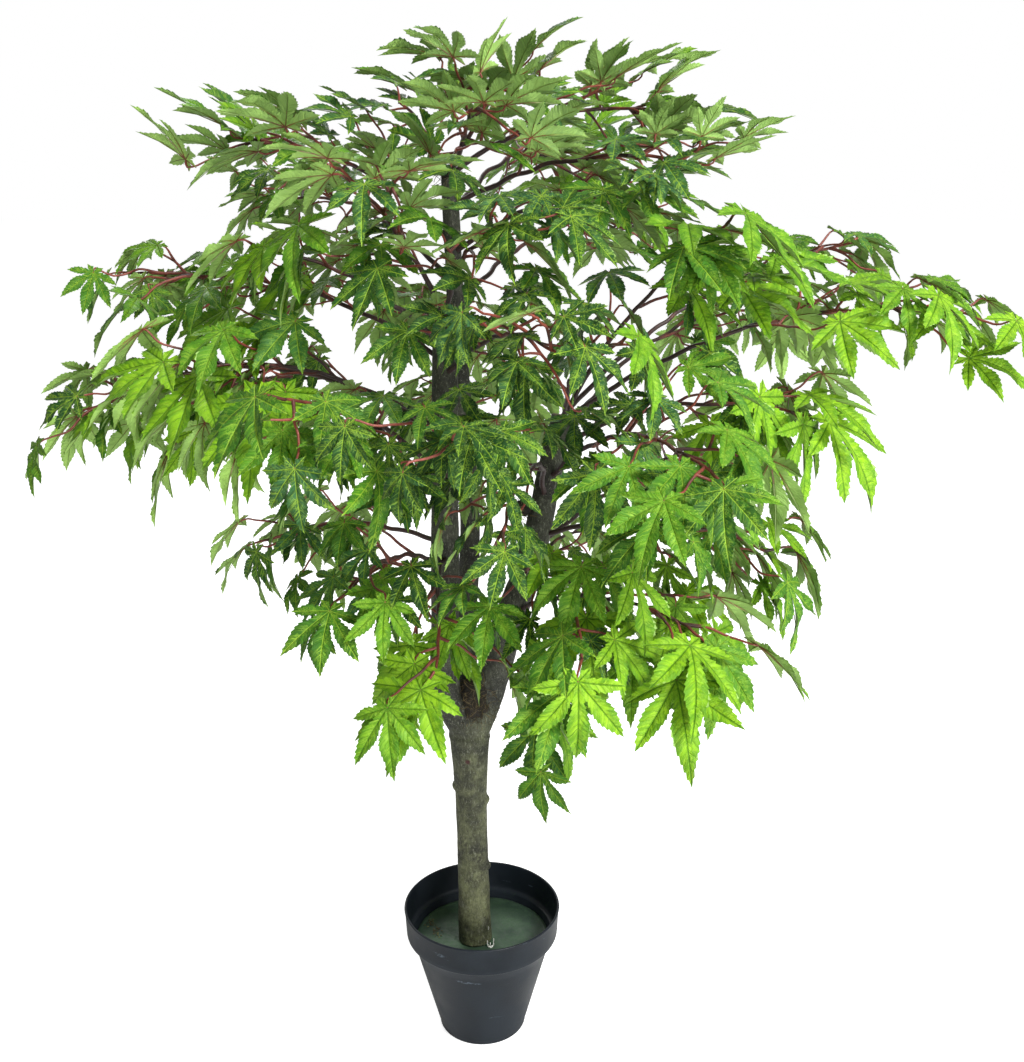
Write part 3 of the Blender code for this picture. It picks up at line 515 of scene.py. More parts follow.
def geometry_values(modifier, values):
    """Sets a modifier's inputs, which it keeps by their sockets' identifiers."""
    for item in modifier.node_group.interface.items_tree:
        if item.item_type == "SOCKET" and item.in_out == "INPUT" and item.name in values:
            modifier[item.identifier] = values[item.name]


def made_mesh(obj):
    """The mesh of an object with its modifiers applied."""
    bpy.context.view_layer.update()
    graph = bpy.context.evaluated_depsgraph_get()
    return bpy.data.meshes.new_from_object(obj.evaluated_get(graph), depsgraph=graph)


def apply_modifiers(obj):
    mesh = made_mesh(obj)
    obj.modifiers.clear()
    obj.data = mesh


def run_geometry(obj, group, values):
    """Turns an object into the plain mesh that a geometry tree makes of it."""
    modifier = obj.modifiers.new(group.name, "NODES")
    modifier.node_group = group
    geometry_values(modifier, values)
    apply_modifiers(obj)


def mesh_of(name, form):
    """The mesh of a form that is done with."""
    mesh = bpy.data.meshes.new(name)
    form.to_mesh(mesh)
    form.free()
    return mesh


def give_points(mesh, name, values, kind="FLOAT", key="value"):
    """Lets each point of a mesh carry its value."""
    mesh.attributes.new(name, kind, "POINT").data.foreach_set(key, values)


def add_object(name, data):
    obj = bpy.data.objects.new(name, data)
    bpy.context.scene.collection.objects.link(obj)
    return obj


def put_on(obj, slot, *nodes):
    """Makes a finished piece ride on the tree, in place of its solids."""
    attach(obj, "root")
    if nodes:
        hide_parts(*nodes)


# Shader groups that several materials share

@functools.cache
def grain_group():
    """A fine mottle and a coarse one, from the piece's own coordinates."""
    group, tree, given, end = node_group(
        "ShaderNodeTree", "grain", {"Coarse": FLOAT, "Fine": FLOAT, "Stretch": FLOAT},
        {"Coarse": FLOAT, "Fine": FLOAT, "Speck": FLOAT},
    )
    place = tree.add("ShaderNodeTexCoord").outputs["Object"]
    stretch = tree.first("ShaderNodeCombineXYZ", {0: 1.0, 1: 1.0, 2: given["Stretch"]})
    long = tree.vector("MULTIPLY", place, stretch)
    coarse = tree.noise(long, given["Coarse"], 3.0)
    fine = tree.noise(long, given["Fine"], 4.0, 0.6)
    speck = tree.noise(place, tree.times(given["Fine"], 1.9), 2.0)
    finish_group(tree, end, {
        "Coarse": tree.ramp(coarse, 0.32, 0.68),
        "Fine": tree.ramp(fine, 0.30, 0.70),
        "Speck": tree.ramp(speck, 0.62, 0.72),
    })
    return group


def grain(tree, coarse, fine, stretch=1.0):
    """The coarse mottle, the fine one and the specks, at scales for each metre."""
    return tree.group(grain_group(), {"Coarse": coarse, "Fine": fine, "Stretch": stretch})


@functools.cache
def leaf_print_group():
    """A leaf's print from its lobe map: masks of its ribs, veins, streaks and blotches, and their relief."""
    group, tree, given, end = node_group(
        "ShaderNodeTree", "leaf_print", {"Veins": FLOAT, "Rib": FLOAT, "Leaf": FLOAT},
        dict.fromkeys(("Rib", "Veins", "Streaks", "Blotches", "Margin", "Relief"), FLOAT),
    )
    lobe = tree.first("ShaderNodeUVMap", uv_map="lobe")
    ahead, side, _ = tree.add("ShaderNodeSeparateXYZ", {0: lobe}).outputs
    off = tree.math("ABSOLUTE", tree.math("SUBTRACT", side, 0.5))
    place = tree.add("ShaderNodeTexCoord").outputs["Object"]
    own = tree.times(given["Leaf"], 61.0)
    waver = tree.times(tree.noise(place, 95.0, 3.0, 0.7), 0.12)
    across = tree.math("ADD", tree.math("MULTIPLY_ADD", off, -1.1, ahead), waver)
    along = tree.math("MULTIPLY_ADD", side, 1.0, ahead)
    wave = tree.math("FRACT", tree.times(across, given["Veins"]))
    thin = tree.ramp(tree.math("ABSOLUTE", tree.math("SUBTRACT", wave, 0.5)), 0.14, 0.02)
    broken = tree.ramp(tree.noise(place, 110.0, 2.0), 0.44, 0.62)
    inner = tree.ramp(off, 0.13, 0.01)
    veins = tree.times(tree.times(thin, broken), inner)
    rib = tree.ramp(off, given["Rib"], tree.times(given["Rib"], 0.35))
    flow = tree.first("ShaderNodeCombineXYZ", {
        0: tree.times(across, 34.0), 1: tree.math("MULTIPLY_ADD", along, 14.0, own), 2: own,
    })
    streak = tree.ramp(tree.noise(flow, 1.0, 3.0, 0.65), 0.50, 0.66)
    streak = tree.times(streak, tree.ramp(off, 0.135, 0.02, 0.15, 1.0))
    inputs = {"Vector": place, "Scale": 520.0}
    cells = tree.first("ShaderNodeTexVoronoi", inputs, feature="DISTANCE_TO_EDGE")
    patches = tree.ramp(tree.noise(place, 130.0, 2.0), 0.46, 0.60)
    net = tree.times(tree.ramp(cells, 0.16, 0.03), patches)
    net = tree.times(net, tree.ramp(off, 0.11, 0.02, 0.1, 1.0))
    streaks = tree.math("MAXIMUM", tree.times(net, 0.9), streak)
    spread_out = tree.first("ShaderNodeCombineXYZ", {
        0: tree.times(across, 12.0), 1: tree.math("MULTIPLY_ADD", along, 5.0, own), 2: own,
    })
    blotches = tree.ramp(tree.noise(spread_out, 1.0, 3.0, 0.6), 0.36, 0.64)
    ragged = tree.math("MULTIPLY_ADD", blotches, 0.05, off)
    margin = tree.ramp(tree.math("MULTIPLY_ADD", ahead, 0.05, ragged), 0.07, 0.17)
    relief = tree.math("SUBTRACT", tree.times(thin, -0.35), rib)
    relief = tree.math("MULTIPLY_ADD", blotches, 1.1, relief)
    finish_group(tree, end, {
        "Rib": rib, "Veins": veins, "Streaks": streaks,
        "Blotches": blotches, "Margin": margin, "Relief": relief,
    })
    return group


def new_material(name):
    """A new material, with its tree and its Principled shader."""
    made = bpy.data.materials.new(name)
    made.use_nodes = True
    tree = Tree(made.node_tree)
    return made, tree, made.node_tree.nodes["Principled BSDF"]


def join_shader(tree, shader, tone, roughness, height, strength, distance):
    """Gives a shader its colour, its roughness and the relief of a height."""
    bump = tree.first("ShaderNodeBump", {"Strength": strength, "Distance": distance, "Height": height})
    for key, value in (("Base Color", tone), ("Roughness", roughness), ("Normal", bump)):
        tree.join(value, shader, key)


def lighter(value, factor):
    return tuple(min(1.0, part * factor) for part in value)


# Materials

def plastic_material(settings):
    """Matt moulded plastic with faint turning marks, dust near the ledges and a few scuffs, all in a bluish
    tone that is partly painted reflection.
    """
    made, tree, shader = new_material("pot_plastic")
    coarse, fine, _ = grain(tree, 22.0, 420.0)
    place = tree.add("ShaderNodeTexCoord").outputs["Object"]
    flat = tree.vector("MULTIPLY", place, (1.0, 1.0, 5.0))
    scuff = tree.ramp(tree.noise(flat, 30.0, 2.0, 0.4), 0.71, 0.78)
    smear = tree.times(scuff, tree.ramp(fine, 0.2, 0.8))
    height = tree.add("ShaderNodeSeparateXYZ", {0: place}).outputs[2]
    ledge = tree.times(tree.ramp(height, 0.100, 0.117), tree.ramp(height, 0.128, 0.119))
    dust_and_sheen_share = tree.math("MULTIPLY_ADD", ledge, 0.10, tree.times(coarse, 0.13))
    # Dust in a mottle and by the ledges, with the scuffs below in the same colour; its bluish hue is partly
    # painted reflection.
    tone = tree.mix(dust_and_sheen_share, settings.plastic, settings.dust_and_sheen)
    tone = tree.lay(tone, (smear, 0.7, lighter(settings.dust_and_sheen, 1.8)))
    rough = tree.math("MULTIPLY_ADD", coarse, 0.14, settings.roughness - 0.07)
    join_shader(tree, shader, tone, rough, fine, 0.10, 0.0003)
    shader.inputs["Specular IOR Level"].default_value = 0.22
    return made


def fill_material(settings):
    """Green set foam, smooth, with darker patches and small pits; the patches are partly real damp marks and
    partly painted shade, standing in for the shadows of the wall and the trunk.
    """
    made, tree, shader = new_material("pot_fill_green")
    coarse, fine, speck = grain(tree, 28.0, 300.0)
    # Random darker patches of the shade colour: painted shade in part, not only damp marks.
    tone = tree.mix(coarse, settings.fill_shade, settings.fill)
    tone = tree.lay(
        tone,
        (speck, 0.5, settings.fill_shade),
        (fine, 0.22, lighter(settings.fill, 1.5)),
    )
    join_shader(tree, shader, tone, tree.ramp(fine, 0.0, 1.0, 0.55, 0.75), fine, 0.25, 0.0004)
    return made


def plain_material(name, low, high, roughness, scale, relief=0.2):
    """Two close tones mottled together, for glue and crumbs."""
    made, tree, shader = new_material(name)
    coarse, fine, _ = grain(tree, scale, 6 * scale)
    tone = tree.mix(coarse, low, high)
    rough = tree.ramp(fine, 0.0, 1.0, roughness - 0.08, roughness + 0.08)
    join_shader(tree, shader, tone, rough, fine, relief, 0.0003)
    return made


def bark_material(settings):
    """Grey-olive bark, darker up the stems, with stains, worn patches, wrinkles, a scar and cut ends."""
    made, tree, shader = new_material("maple_bark")
    place = tree.add("ShaderNodeTexCoord").outputs["Object"]
    height = tree.add("ShaderNodeSeparateXYZ", {0: place}).outputs[2]
    coarse, fine, speck = grain(tree, 60.0, 420.0, 0.6)
    banded = tree.vector("MULTIPLY", place, (1.0, 1.0, 1.2))
    cloud = tree.ramp(tree.noise(banded, 26.0, 5.0, 0.62), 0.37, 0.63)
    patch = tree.noise(place, 24.0, 4.0, 0.6)
    up = tree.ramp(tree.math("MULTIPLY_ADD", patch, 0.16, height), 0.40, 0.50)
    tone = tree.mix(cloud, lighter(settings.trunk, 0.25), lighter(settings.trunk, 1.90))
    tone = tree.lay(tone, (coarse, 0.45, lighter(settings.trunk, 0.40)))
    stem = tree.mix(cloud, lighter(settings.stem, 0.40), lighter(settings.stem, 1.9))
    tone = tree.mix(up, tone, stem)
    stain = tree.times(tree.ramp(patch, 0.54, 0.68), tree.ramp(fine, 0.1, 0.6))
    worn = tree.times(tree.ramp(tree.noise(banded, 30.0, 4.0, 0.6), 0.60, 0.70), fine)
    tone = tree.lay(
        tone,
        (stain, 0.85, settings.stain),
        (worn, 0.70, settings.pale),
        (fine, 0.35, lighter(settings.stem, 0.8)),
        (speck, 0.45, settings.pale),
    )
    streak = tree.noise(tree.vector("MULTIPLY", place, (1.0, 1.0, 0.35)), 520.0, 3.0, 0.7)
    tone = tree.mix(tree.ramp(streak, 0.54, 0.66, 0.0, 0.55), tone, settings.stain)
    tone = tree.mix(tree.ramp(streak, 0.42, 0.34, 0.0, 0.35), tone, settings.pale)
    ring = tree.noise(tree.vector("MULTIPLY", place, (1.0, 1.0, 3.0)), 120.0, 4.0)
    tone = tree.lay(tone, (tree.ramp(ring, 0.60, 0.74), 0.40, settings.stain))
    tone = tree.mix(tree.ramp(tree.carried("scar"), 0.05, 0.60), tone, settings.scar)
    tone = tree.mix(tree.carried("cut_end"), tone, settings.cut)
    relief = tree.math("MULTIPLY_ADD", fine, 0.6, tree.times(ring, 0.8))
    join_shader(tree, shader, tone, tree.ramp(fine, 0.0, 1.0, 0.60, 0.85), relief, 0.70, 0.0010)
    return made


def coir_material(name, tone_low, tone_high):
    made, tree, shader = new_material(name)
    coarse, fine, _ = grain(tree, 160.0, 900.0, 0.5)
    tone = tree.mix(coarse, tone_low, tone_high)
    tone = tree.lay(tone, (fine, 0.4, lighter(tone_low, 0.5)))
    join_shader(tree, shader, tone, tree.ramp(fine, 0.0, 1.0, 0.75, 0.95), fine, 0.6, 0.0006)
    return made


def wire_material(settings):
    """Painted wire: nearly black where it is thick, red-brown on the thin twigs."""
    made, tree, shader = new_material("painted_wire")
    coarse, fine, _ = grain(tree, 45.0, 600.0)
    age = tree.math("MULTIPLY_ADD", coarse, 0.0010, tree.carried("thick"))
    red = tree.ramp(age, 0.0027, 0.0014)
    tone = tree.mix(red, settings.wire, settings.twig)
    tone = tree.lay(tone, (fine, 0.45, lighter(settings.wire, 1.3)))
    join_shader(tree, shader, tone, tree.ramp(fine, 0.0, 1.0, 0.38, 0.60), fine, 0.3, 0.0004)
    return made


def leaf_material(settings, under):
    """The print on one side of the leaves, whose own level runs from the dark to the bright tone."""
    made, tree, shader = new_material("leaf_under" if under else "leaf_upper")
    level = tree.carried("level")
    masks = tree.group(leaf_print_group(), {"Veins": float(settings.veins), "Rib": 0.011, "Leaf": level})
    own = tree.mix(tree.ramp(level, 0.0, 0.5), settings.dark, settings.mid)
    own = tree.mix(tree.ramp(level, 0.5, 1.0), own, settings.bright)
    # A few of the darker leaves, picked at random by their level, take the blue-green tint: painted
    # reflection of the sky's bluish sheen.
    chance = tree.add("ShaderNodeTexWhiteNoise", {"W": level}, noise_dimensions="1D").outputs["Value"]
    blue = tree.times(tree.ramp(chance, 0.60, 0.80), tree.ramp(level, 0.65, 0.45, 0.0, 0.75))
    own = tree.mix(blue, own, settings.teal_sheen)
    deep = tree.mix(tree.ramp(level, 0.0, 1.0), lighter(settings.dark, 0.45), settings.mid)
    rib = tree.mix(tree.ramp(level, 0.4, 0.8), settings.lime, lighter(settings.mid, 0.8))
    tone = tree.lay(
        own,
        (masks["Blotches"], 0.55, deep),
        (masks["Margin"], 0.60, deep),
        (masks["Streaks"], tree.ramp(level, 0.0, 1.0, 0.58, 0.50), settings.lime),
        (masks["Veins"], 0.42, settings.shade),
        (masks["Rib"], 0.62, rib),
    )
    # Undersides fade to the pale colour: their own paler back, and partly painted light through the thin
    # cloth, strongest on the brighter leaves.
    if under:
        tone = tree.mix(tree.ramp(level, 0.0, 0.6, 0.54, 0.70), tone, settings.pale)
    rough = tree.ramp(masks["Blotches"], 0.0, 1.0, 0.46, 0.60)
    join_shader(tree, shader, tone, rough, masks["Relief"], 0.65, 0.0011)
    shader.inputs["Specular IOR Level"].default_value = 0.20
    return made


def rib_material(settings):
    """The moulded ribs and hubs: red-brown as the stalks by the hub, and green along the lobes."""
    made, tree, shader = new_material("leaf_ribs")
    coarse, fine, _ = grain(tree, 150.0, 900.0)
    lobe = tree.first("ShaderNodeUVMap", uv_map="lobe")
    ahead = tree.first("ShaderNodeSeparateXYZ", {0: lobe})
    red = tree.ramp(tree.math("MULTIPLY_ADD", coarse, 0.3, ahead), 0.65, 0.15)
    tone = tree.mix(red, settings.rib_end, settings.rib)
    tone = tree.lay(tone, (fine, 0.3, lighter(settings.rib_end, 0.6)))
    join_shader(tree, shader, tone, tree.ramp(fine, 0.0, 1.0, 0.42, 0.58), fine, 0.2, 0.0003)
    return made


# Growth rule: where the wires, twigs, stalks and leaves of the sprays lie

Wire = namedtuple("Wire", "points radii")
Limbs = namedtuple("Limbs", "bough stem")
Leaf = namedtuple("Leaf", "line radii place length")


def direction(azimuth, rise):
    a, r = math.radians(azimuth), math.radians(rise)
    return Vector((math.cos(r) * math.cos(a), math.cos(r) * math.sin(a), math.sin(r)))


def beside(ahead, up=0.0):
    """The direction level to the right of another one, or raised from there."""
    return Vector((ahead.y, -ahead.x, up)).normalized()


def raised(side, tilt):
    """A level direction raised by an angle in degrees."""
    angle = math.radians(tilt)
    return math.cos(angle) * side + math.sin(angle) * Vector((0, 0, 1))


def sway(rng, low, high):
    """A random lean to any side, and down or up between two bounds."""
    return SWAY * Vector((rng.uniform(-1, 1), rng.uniform(-1, 1), rng.uniform(low, high)))


def smooth_line(points, steps=2):
    """A curve through all the points, with steps to each span (Catmull-Rom)."""
    points = [Vector(p) for p in points]
    ends = [2 * points[0] - points[1], *points, 2 * points[-1] - points[-2]]
    line = []
    for a, b, c, d in zip(ends, ends[1:], ends[2:], ends[3:]):
        for step in range(steps):
            t = step / steps
            line.append(0.5 * (2 * b + (c - a) * t + (2 * a - 5 * b + 4 * c - d) * t * t
                               + (3 * b - a - 3 * c + d) * t ** 3))
    return [*line, points[-1]]


def spread(first, last, count):
    return [first + (last - first) * i / (count - 1) for i in range(count)]


def point_at_height(line, height):
    """The point of a rising line at a height, with the direction of the line there."""
    for a, b in zip(line, line[1:]):
        if b.z >= height:
            break
    t = min(1.0, (height - a.z) / (b.z - a.z))
    return a.lerp(b, t), (b - a).normalized()


class Solids:
    """The solids placed so far, as trees of triangles with a bounding ball each."""

    def __init__(self):
        self.held = []

    @staticmethod
    def shape(vertices, faces):
        centre = sum(vertices, Vector()) / len(vertices)
        reach = max((v - centre).length for v in vertices)
        return BVHTree.FromPolygons(vertices, faces), centre, reach

    def add(self, vertices, faces):
        self.held.append(self.shape(vertices, faces))

    def hit(self, vertices, faces):
        tree, centre, reach = self.shape(vertices, faces)
        return any(
            (centre - other).length < reach + extent and tree.overlap(solid)
            for solid, other, extent in self.held
        )


def prism(points, radii, extra=0.0, sides=6):
    """Corners and faces of a plain tube round a line, for the test of what touches what."""
    corners, faces = [], []
    ahead = (points[-1] - points[0]).normalized()
    side = ahead.orthogonal().normalized()
    over = ahead.cross(side)
    for point, radius in zip(points, radii):
        for i in range(sides):
            angle = 2 * math.pi * i / sides
            arm = math.cos(angle) * side + math.sin(angle) * over
            corners.append(point + (radius + extra) * arm)
    for ring in range(len(points) - 1):
        for i in range(sides):
            j = (i + 1) % sides
            low, high = ring * sides, (ring + 1) * sides
            faces.append((low + i, low + j, high + j, high + i))
    faces.append(tuple(range(sides)))
    faces.append(tuple(range(len(corners) - sides, len(corners))))
    return corners, faces


def solid_blade():
    """Corners and faces of the solid leaf of unit length: a star with five hanging lobes."""
    half = [SOLID_NOTCHES[0], SOLID_LOBES[1], SOLID_NOTCHES[1], SOLID_LOBES[2], SOLID_FOOT]
    rim_places = [(-angle, length) for angle, length in reversed(half)] + [SOLID_LOBES[0]] + half
    form = bmesh.new()
    bmesh.ops.create_cone(
        form, cap_ends=True, cap_tris=True, segments=len(rim_places),
        radius1=1.0, radius2=0.0, depth=LEAF_THICKNESS,
    )
    rim = [v for v in form.verts if v.co.xy.length > 0.5]
    rim.sort(key=lambda v: math.atan2(v.co.y, v.co.x))
    for vertex, (angle, length) in zip(rim, rim_places):
        a = math.radians(angle)
        vertex.co = (length * math.cos(a), length * math.sin(a), -LEAF_ARCH * length * length)
    corners = [v.co.copy() for v in form.verts]
    faces = [tuple(v.index for v in f.verts) for f in form.faces]
    form.free()
    return corners, faces


def ring_of_three(point, way, arms, radius):
    """Three arms of a stalk's section square to its way, turned as little as possible from the last ones."""
    first = arms[0] - arms[0].dot(way) * way
    turned = [Matrix.Rotation(math.radians(120 * i), 3, way) @ first.normalized() for i in range(3)]
    return turned, [point + radius * arm for arm in turned]


def leaf_solid(blade, leaf, extra=0.0):
    """A leaf with its stalk: the foot face on the stalk's side is drawn out along the line to its root."""
    shape, faces = blade
    hub = leaf.place.translation
    face_up = leaf.place.to_3x3().col[2]
    corners = []
    for corner in shape:
        thicker = math.copysign(extra / leaf.length, corner.z) if corner.xy.length < 0.01 else 0.0
        corners.append(leaf.place @ (leaf.length * (corner + Vector((0, 0, thicker)))))
    side = math.copysign(1, (leaf.line[-1] - hub).dot(face_up))
    feet = [f for f in faces if all(shape[i].xy.length < 0.1 for i in f)]
    foot = max(feet, key=lambda f: side * sum(shape[i].z for i in f))
    middle = sum((corners[i] for i in foot), Vector()) / 3
    arms = [corners[i] - middle for i in foot]
    drawn = [f for f in faces if f is not foot]
    ring = foot
    points = [hub, *reversed(leaf.line)]
    for i, radius in enumerate(reversed(leaf.radii), 1):
        ways = [(b - a).normalized() for a, b in zip(points[i - 1:], points[i:i + 2])]
        arms, places = ring_of_three(points[i], sum(ways, Vector()).normalized(), arms, radius + extra)
        below = tuple(range(len(corners), len(corners) + 3))
        corners += places
        drawn += [(ring[k], ring[(k + 1) % 3], below[(k + 1) % 3], below[k]) for k in range(3)]
        ring = below
    return corners, [*drawn, ring]


def from_root(leaf, part):
    """The leaf without the first part of its stalk's first stretch, which lies in what carries it."""
    after = leaf.line[1] if len(leaf.line) > 1 else leaf.place.translation
    return leaf._replace(line=[leaf.line[0].lerp(after, part), *leaf.line[1:]])


def wire_line(spray, start, rng):
    """A spray's wire: it rises, sags evenly along its length and strays a little to each side."""
    stray = rng.uniform(-WANDER, WANDER)
    phase = rng.uniform(0, 2 * math.pi)
    points, point = [start], start.copy()
    for i in range(WIRE_POINTS):
        t = (i + 0.5) / WIRE_POINTS
        turn = stray * t + WANDER * math.sin(phase + 2 * math.pi * t)
        heading = direction(spray.azimuth + turn, spray.rise - spray.sag * t)
        point = point + spray.length / WIRE_POINTS * heading
        points.append(point)
    return points


def along(points, radii, part):
    """The point, the direction and the radius at a part of a line's length."""
    span = part * (len(points) - 1)
    i = min(int(span), len(points) - 2)
    t = span - i
    return (
        points[i].lerp(points[i + 1], t),
        (points[i + 1] - points[i]).normalized(),
        radii[i] + (radii[i + 1] - radii[i]) * t,
    )


def stretch(wire, first, last, count):
    """The part of a wire between two shares of its length."""
    found = [along(*wire, part) for part in spread(first, last, count)]
    return Wire([p for p, _, _ in found], [r for _, _, r in found])


def seat(spray, solids, rng):
    """The spray's wire, pushed out of the stem's axis until it is just clear of what holds it."""
    start, _ = point_at_height(smooth_line(STEMS[spray.stem][0]), spray.height)
    heading = direction(spray.azimuth, spray.rise)
    line = wire_line(spray, start, rng)
    radii = spread(WIRE_RADIUS, WIRE_TIP_RADIUS, len(line))
    near = max(2, sum((p - start).length < NEAR_STEM for p in line))
    out = 0.0
    while solids.hit(*prism([p + out * heading for p in line[:near]], radii[:near], GAP)):
        out += GAP / 3
    return Wire([p + out * heading for p in line], radii)


def leaf_place(hub, ahead, rng, loose):
    """Where a leaf lies: its middle lobe ahead and down, its face up, rolled and turned a little."""
    height = min(1.0, max(0.0, (hub.z - CROWN_FOOT) / (CROWN_TOP - CROWN_FOOT)))
    differs = loose * rng.uniform(-DROOP_SPREAD, DROOP_SPREAD)
    droop = DROOP_LOW + (DROOP_HIGH - DROOP_LOW) * height ** 4 + differs
    droop -= UPRIGHT * (loose - 1) * height ** 4
    azimuth = math.degrees(math.atan2(ahead.y, ahead.x)) + loose * rng.uniform(-25, 25)
    forward = direction(azimuth, -droop)
    level = direction(azimuth + 90, 0)
    roll = math.radians(loose * rng.uniform(-30, 30))
    face = math.cos(roll) * forward.cross(level) + math.sin(roll) * level
    turn = Matrix((forward, face.cross(forward), face)).transposed()
    return Matrix.Translation(hub) @ turn.to_4x4()


def before_fork(point):
    """Whether a point lies in the space before the fork that stays open."""
    half, foot, top = FORK_OPEN
    return abs(point.x - FORK[0]) < half and point.y < 0 and foot < point.z + FORK_SLOPE * point.y < top


class Grower:
    """Places the sprays one after another, each part only where it is clear and in its own space."""

    def __init__(self):
        self.solids = Solids()
        self.blade = solid_blade()
        self.limbs = {}
        self.marks = {}
        self.larger = LARGER
        self.loose = 1.0
        self.boxes = {}

    def own_space(self, name, point):
        own = min((point - mark).length for mark in self.marks[name])
        return all(
            own < OWN_SPACE * (point - mark).length
            for other, marks in self.marks.items()
            if other != name
            for mark in marks
        )

    def in_reach(self, name, leaf):
        """Whether the finer growth's leaf stays by the solid of its mass."""
        if name not in self.boxes:
            return True
        low, high = self.boxes[name]
        tips = [leaf.place @ (leaf.length * corner) for corner in self.blade[0]]
        return all(
            low[i] - FINE_REACH < tip[i] < high[i] + FINE_REACH
            for tip in tips
            for i in range(3)
        )

    def add_wire(self, spray, rng):
        wire = seat(spray, self.solids, rng)
        bough = stretch(wire, 0.0, spray.bough, BOUGH_POINTS) if spray.bough else None
        foot = spray.bough + 1.5 * GAP / spray.length if spray.bough else 0.0
        limbs = Limbs(bough, stretch(wire, foot, 1.0, STEM_POINTS))
        self.limbs[spray.name] = limbs
        for limb in filter(None, limbs):
            self.solids.add(*prism(*limb))
        self.marks[spray.name] = stretch(wire, spray.bough or BARE, 1.0, 8).points

    def grow_leaf(self, spray, line, radii, ahead, scale, rng, tries=TRIES):
        """A leaf whose stalk starts with a line and ends in a petiole, or None where no try is clear."""
        for _ in range(tries):
            way = (ahead + sway(rng, -0.6, 1)).normalized()
            hub = line[-1] + PETIOLE_LENGTH * rng.uniform(0.7, 1.3) * way
            length = self.larger * scale * LEAF_LENGTH[spray.tone] * rng.uniform(0.9, 1.1)
            leaf = Leaf(line, radii, leaf_place(hub, way, rng, self.loose), length)
            middle = leaf.place @ Vector((0.5 * length, 0, 0))
            if way.dot(middle - hub) < STALK_BEHIND * length or before_fork(middle):
                continue
            if not self.own_space(spray.name, middle):
                continue
            if not self.in_reach(spray.name, leaf):
                continue
            if self.solids.hit(*leaf_solid(self.blade, from_root(leaf, ROOT_FREE), CLEAR)):
                continue
            self.solids.add(*leaf_solid(self.blade, from_root(leaf, ROOT_FREE / 2)))
            return leaf
        return None

    def grow_twig(self, spray, root, ahead, length, rng, tries=TRIES, scale=1.05):
        """A side twig that sags to its end leaf, or None where no try is clear."""
        for _ in range(tries):
            way = (ahead + sway(rng, -1, 1)).normalized()
            middle = root + 0.5 * length * way
            onward = (way - 0.25 * Vector((0, 0, 1))).normalized()
            line = [root, middle, middle + 0.5 * length * onward]
            radii = [TWIG_RADIUS, TWIG_RADIUS, PETIOLE_RADIUS]
            twig = self.grow_leaf(spray, line, radii, onward, scale, rng, tries=2)
            if twig:
                return twig
        return None

    def grow_single(self, spray, root, ahead, scale, rng, tries=TRIES):
        """A leaf on a plain stalk, straight on a stem or a twig."""
        return self.grow_leaf(spray, [root], [PETIOLE_RADIUS], ahead, scale, rng, tries)

    def grow_opposite(self, spray, twig, out, scale, rng, tries=TRIES):
        """A leaf on a twig's first half, near its middle, that rises a little from its way out."""
        root = twig.line[0].lerp(twig.line[1], OPPOSITE_PLACE)
        way = (out + Vector((0, 0, 0.3))).normalized()
        return self.grow_single(spray, root, way, scale, rng, tries)

    def grow_mass(self, spray, rng):
        """The leaves of one spray's mass: on its stem's tip, on side twigs and straight on the stem."""
        stem = self.limbs[spray.name].stem
        first = 0.03 if spray.bough else BARE
        tip, ahead, radius = along(*stem, 1.0)
        leaves = [self.grow_leaf(spray, [tip], [radius], ahead, 1.1, rng)]
        count = int((1 - (spray.bough or BARE)) * spray.length / TWIG_SPACING)
        angle = math.radians(TWIG_ANGLE)
        for i in range(count):
            root, ahead, _ = along(*stem, first + (1 - first) * i / count)
            side = beside(ahead) * (-1) ** i
            out = raised(side, rng.uniform(-35, 50))
            length = TWIG_LENGTH * (1 - 0.45 * i / count) * rng.uniform(0.85, 1.15)
            way = math.cos(angle) * ahead + math.sin(angle) * out
            twig = self.grow_twig(spray, root, way, length, rng)
            if twig:
                ahead = (twig.line[2] - twig.line[0]).normalized()
                leaves += [twig, self.grow_opposite(spray, twig, ahead - 0.9 * side, 0.95, rng)]
        for turn in (-1, 1) if spray.length > SHORT else (1,):
            root, ahead, _ = along(*stem, PAIR_PLACE)
            way = (ahead + beside(ahead, 0.2) * turn).normalized()
            leaves.append(self.grow_single(spray, root, way, 1.0, rng))
        return [leaf for leaf in leaves if leaf]

    def grow_finer(self, spray, grown, rng):
        """Short twigs between a mass's own, and single leaves half way along its twigs."""
        stem = self.limbs[spray.name].stem
        first = 0.08 if spray.bough else BARE - 0.06
        leaves = []
        for leaf in grown:
            if len(leaf.line) == 3:
                root, ahead, _ = along(leaf.line, leaf.radii, rng.uniform(0.45, 0.9))
                out = beside(ahead, rng.uniform(-0.5, 0.9)) * rng.choice((-1, 1))
                way = (0.6 * ahead + out).normalized()
                leaves.append(self.grow_single(spray, root, way, 0.85, rng, FINE_TRIES))
        count = int((1 - (spray.bough or BARE)) * spray.length / FINE_SPACING)
        for i in range(count):
            root, ahead, _ = along(*stem, first + (1 - first) * (i + 0.5) / count)
            side = beside(ahead) * (-1) ** (i + 1)
            out = raised(side, rng.choice((rng.uniform(20, 80), rng.uniform(-60, -10))))
            length = FINE_TWIG * rng.uniform(0.7, 1.2)
            way = (0.7 * ahead + 0.7 * out).normalized()
            twig = self.grow_twig(spray, root, way, length, rng, FINE_TRIES, 0.9)
            if twig:
                leaves += [twig, self.grow_opposite(spray, twig, way - 1.2 * side, 0.8, rng, FINE_TRIES)]
        return [leaf for leaf in leaves if leaf]


def polygons(obj):
    return [v.co.copy() for v in obj.data.vertices], [tuple(f.vertices) for f in obj.data.polygons]


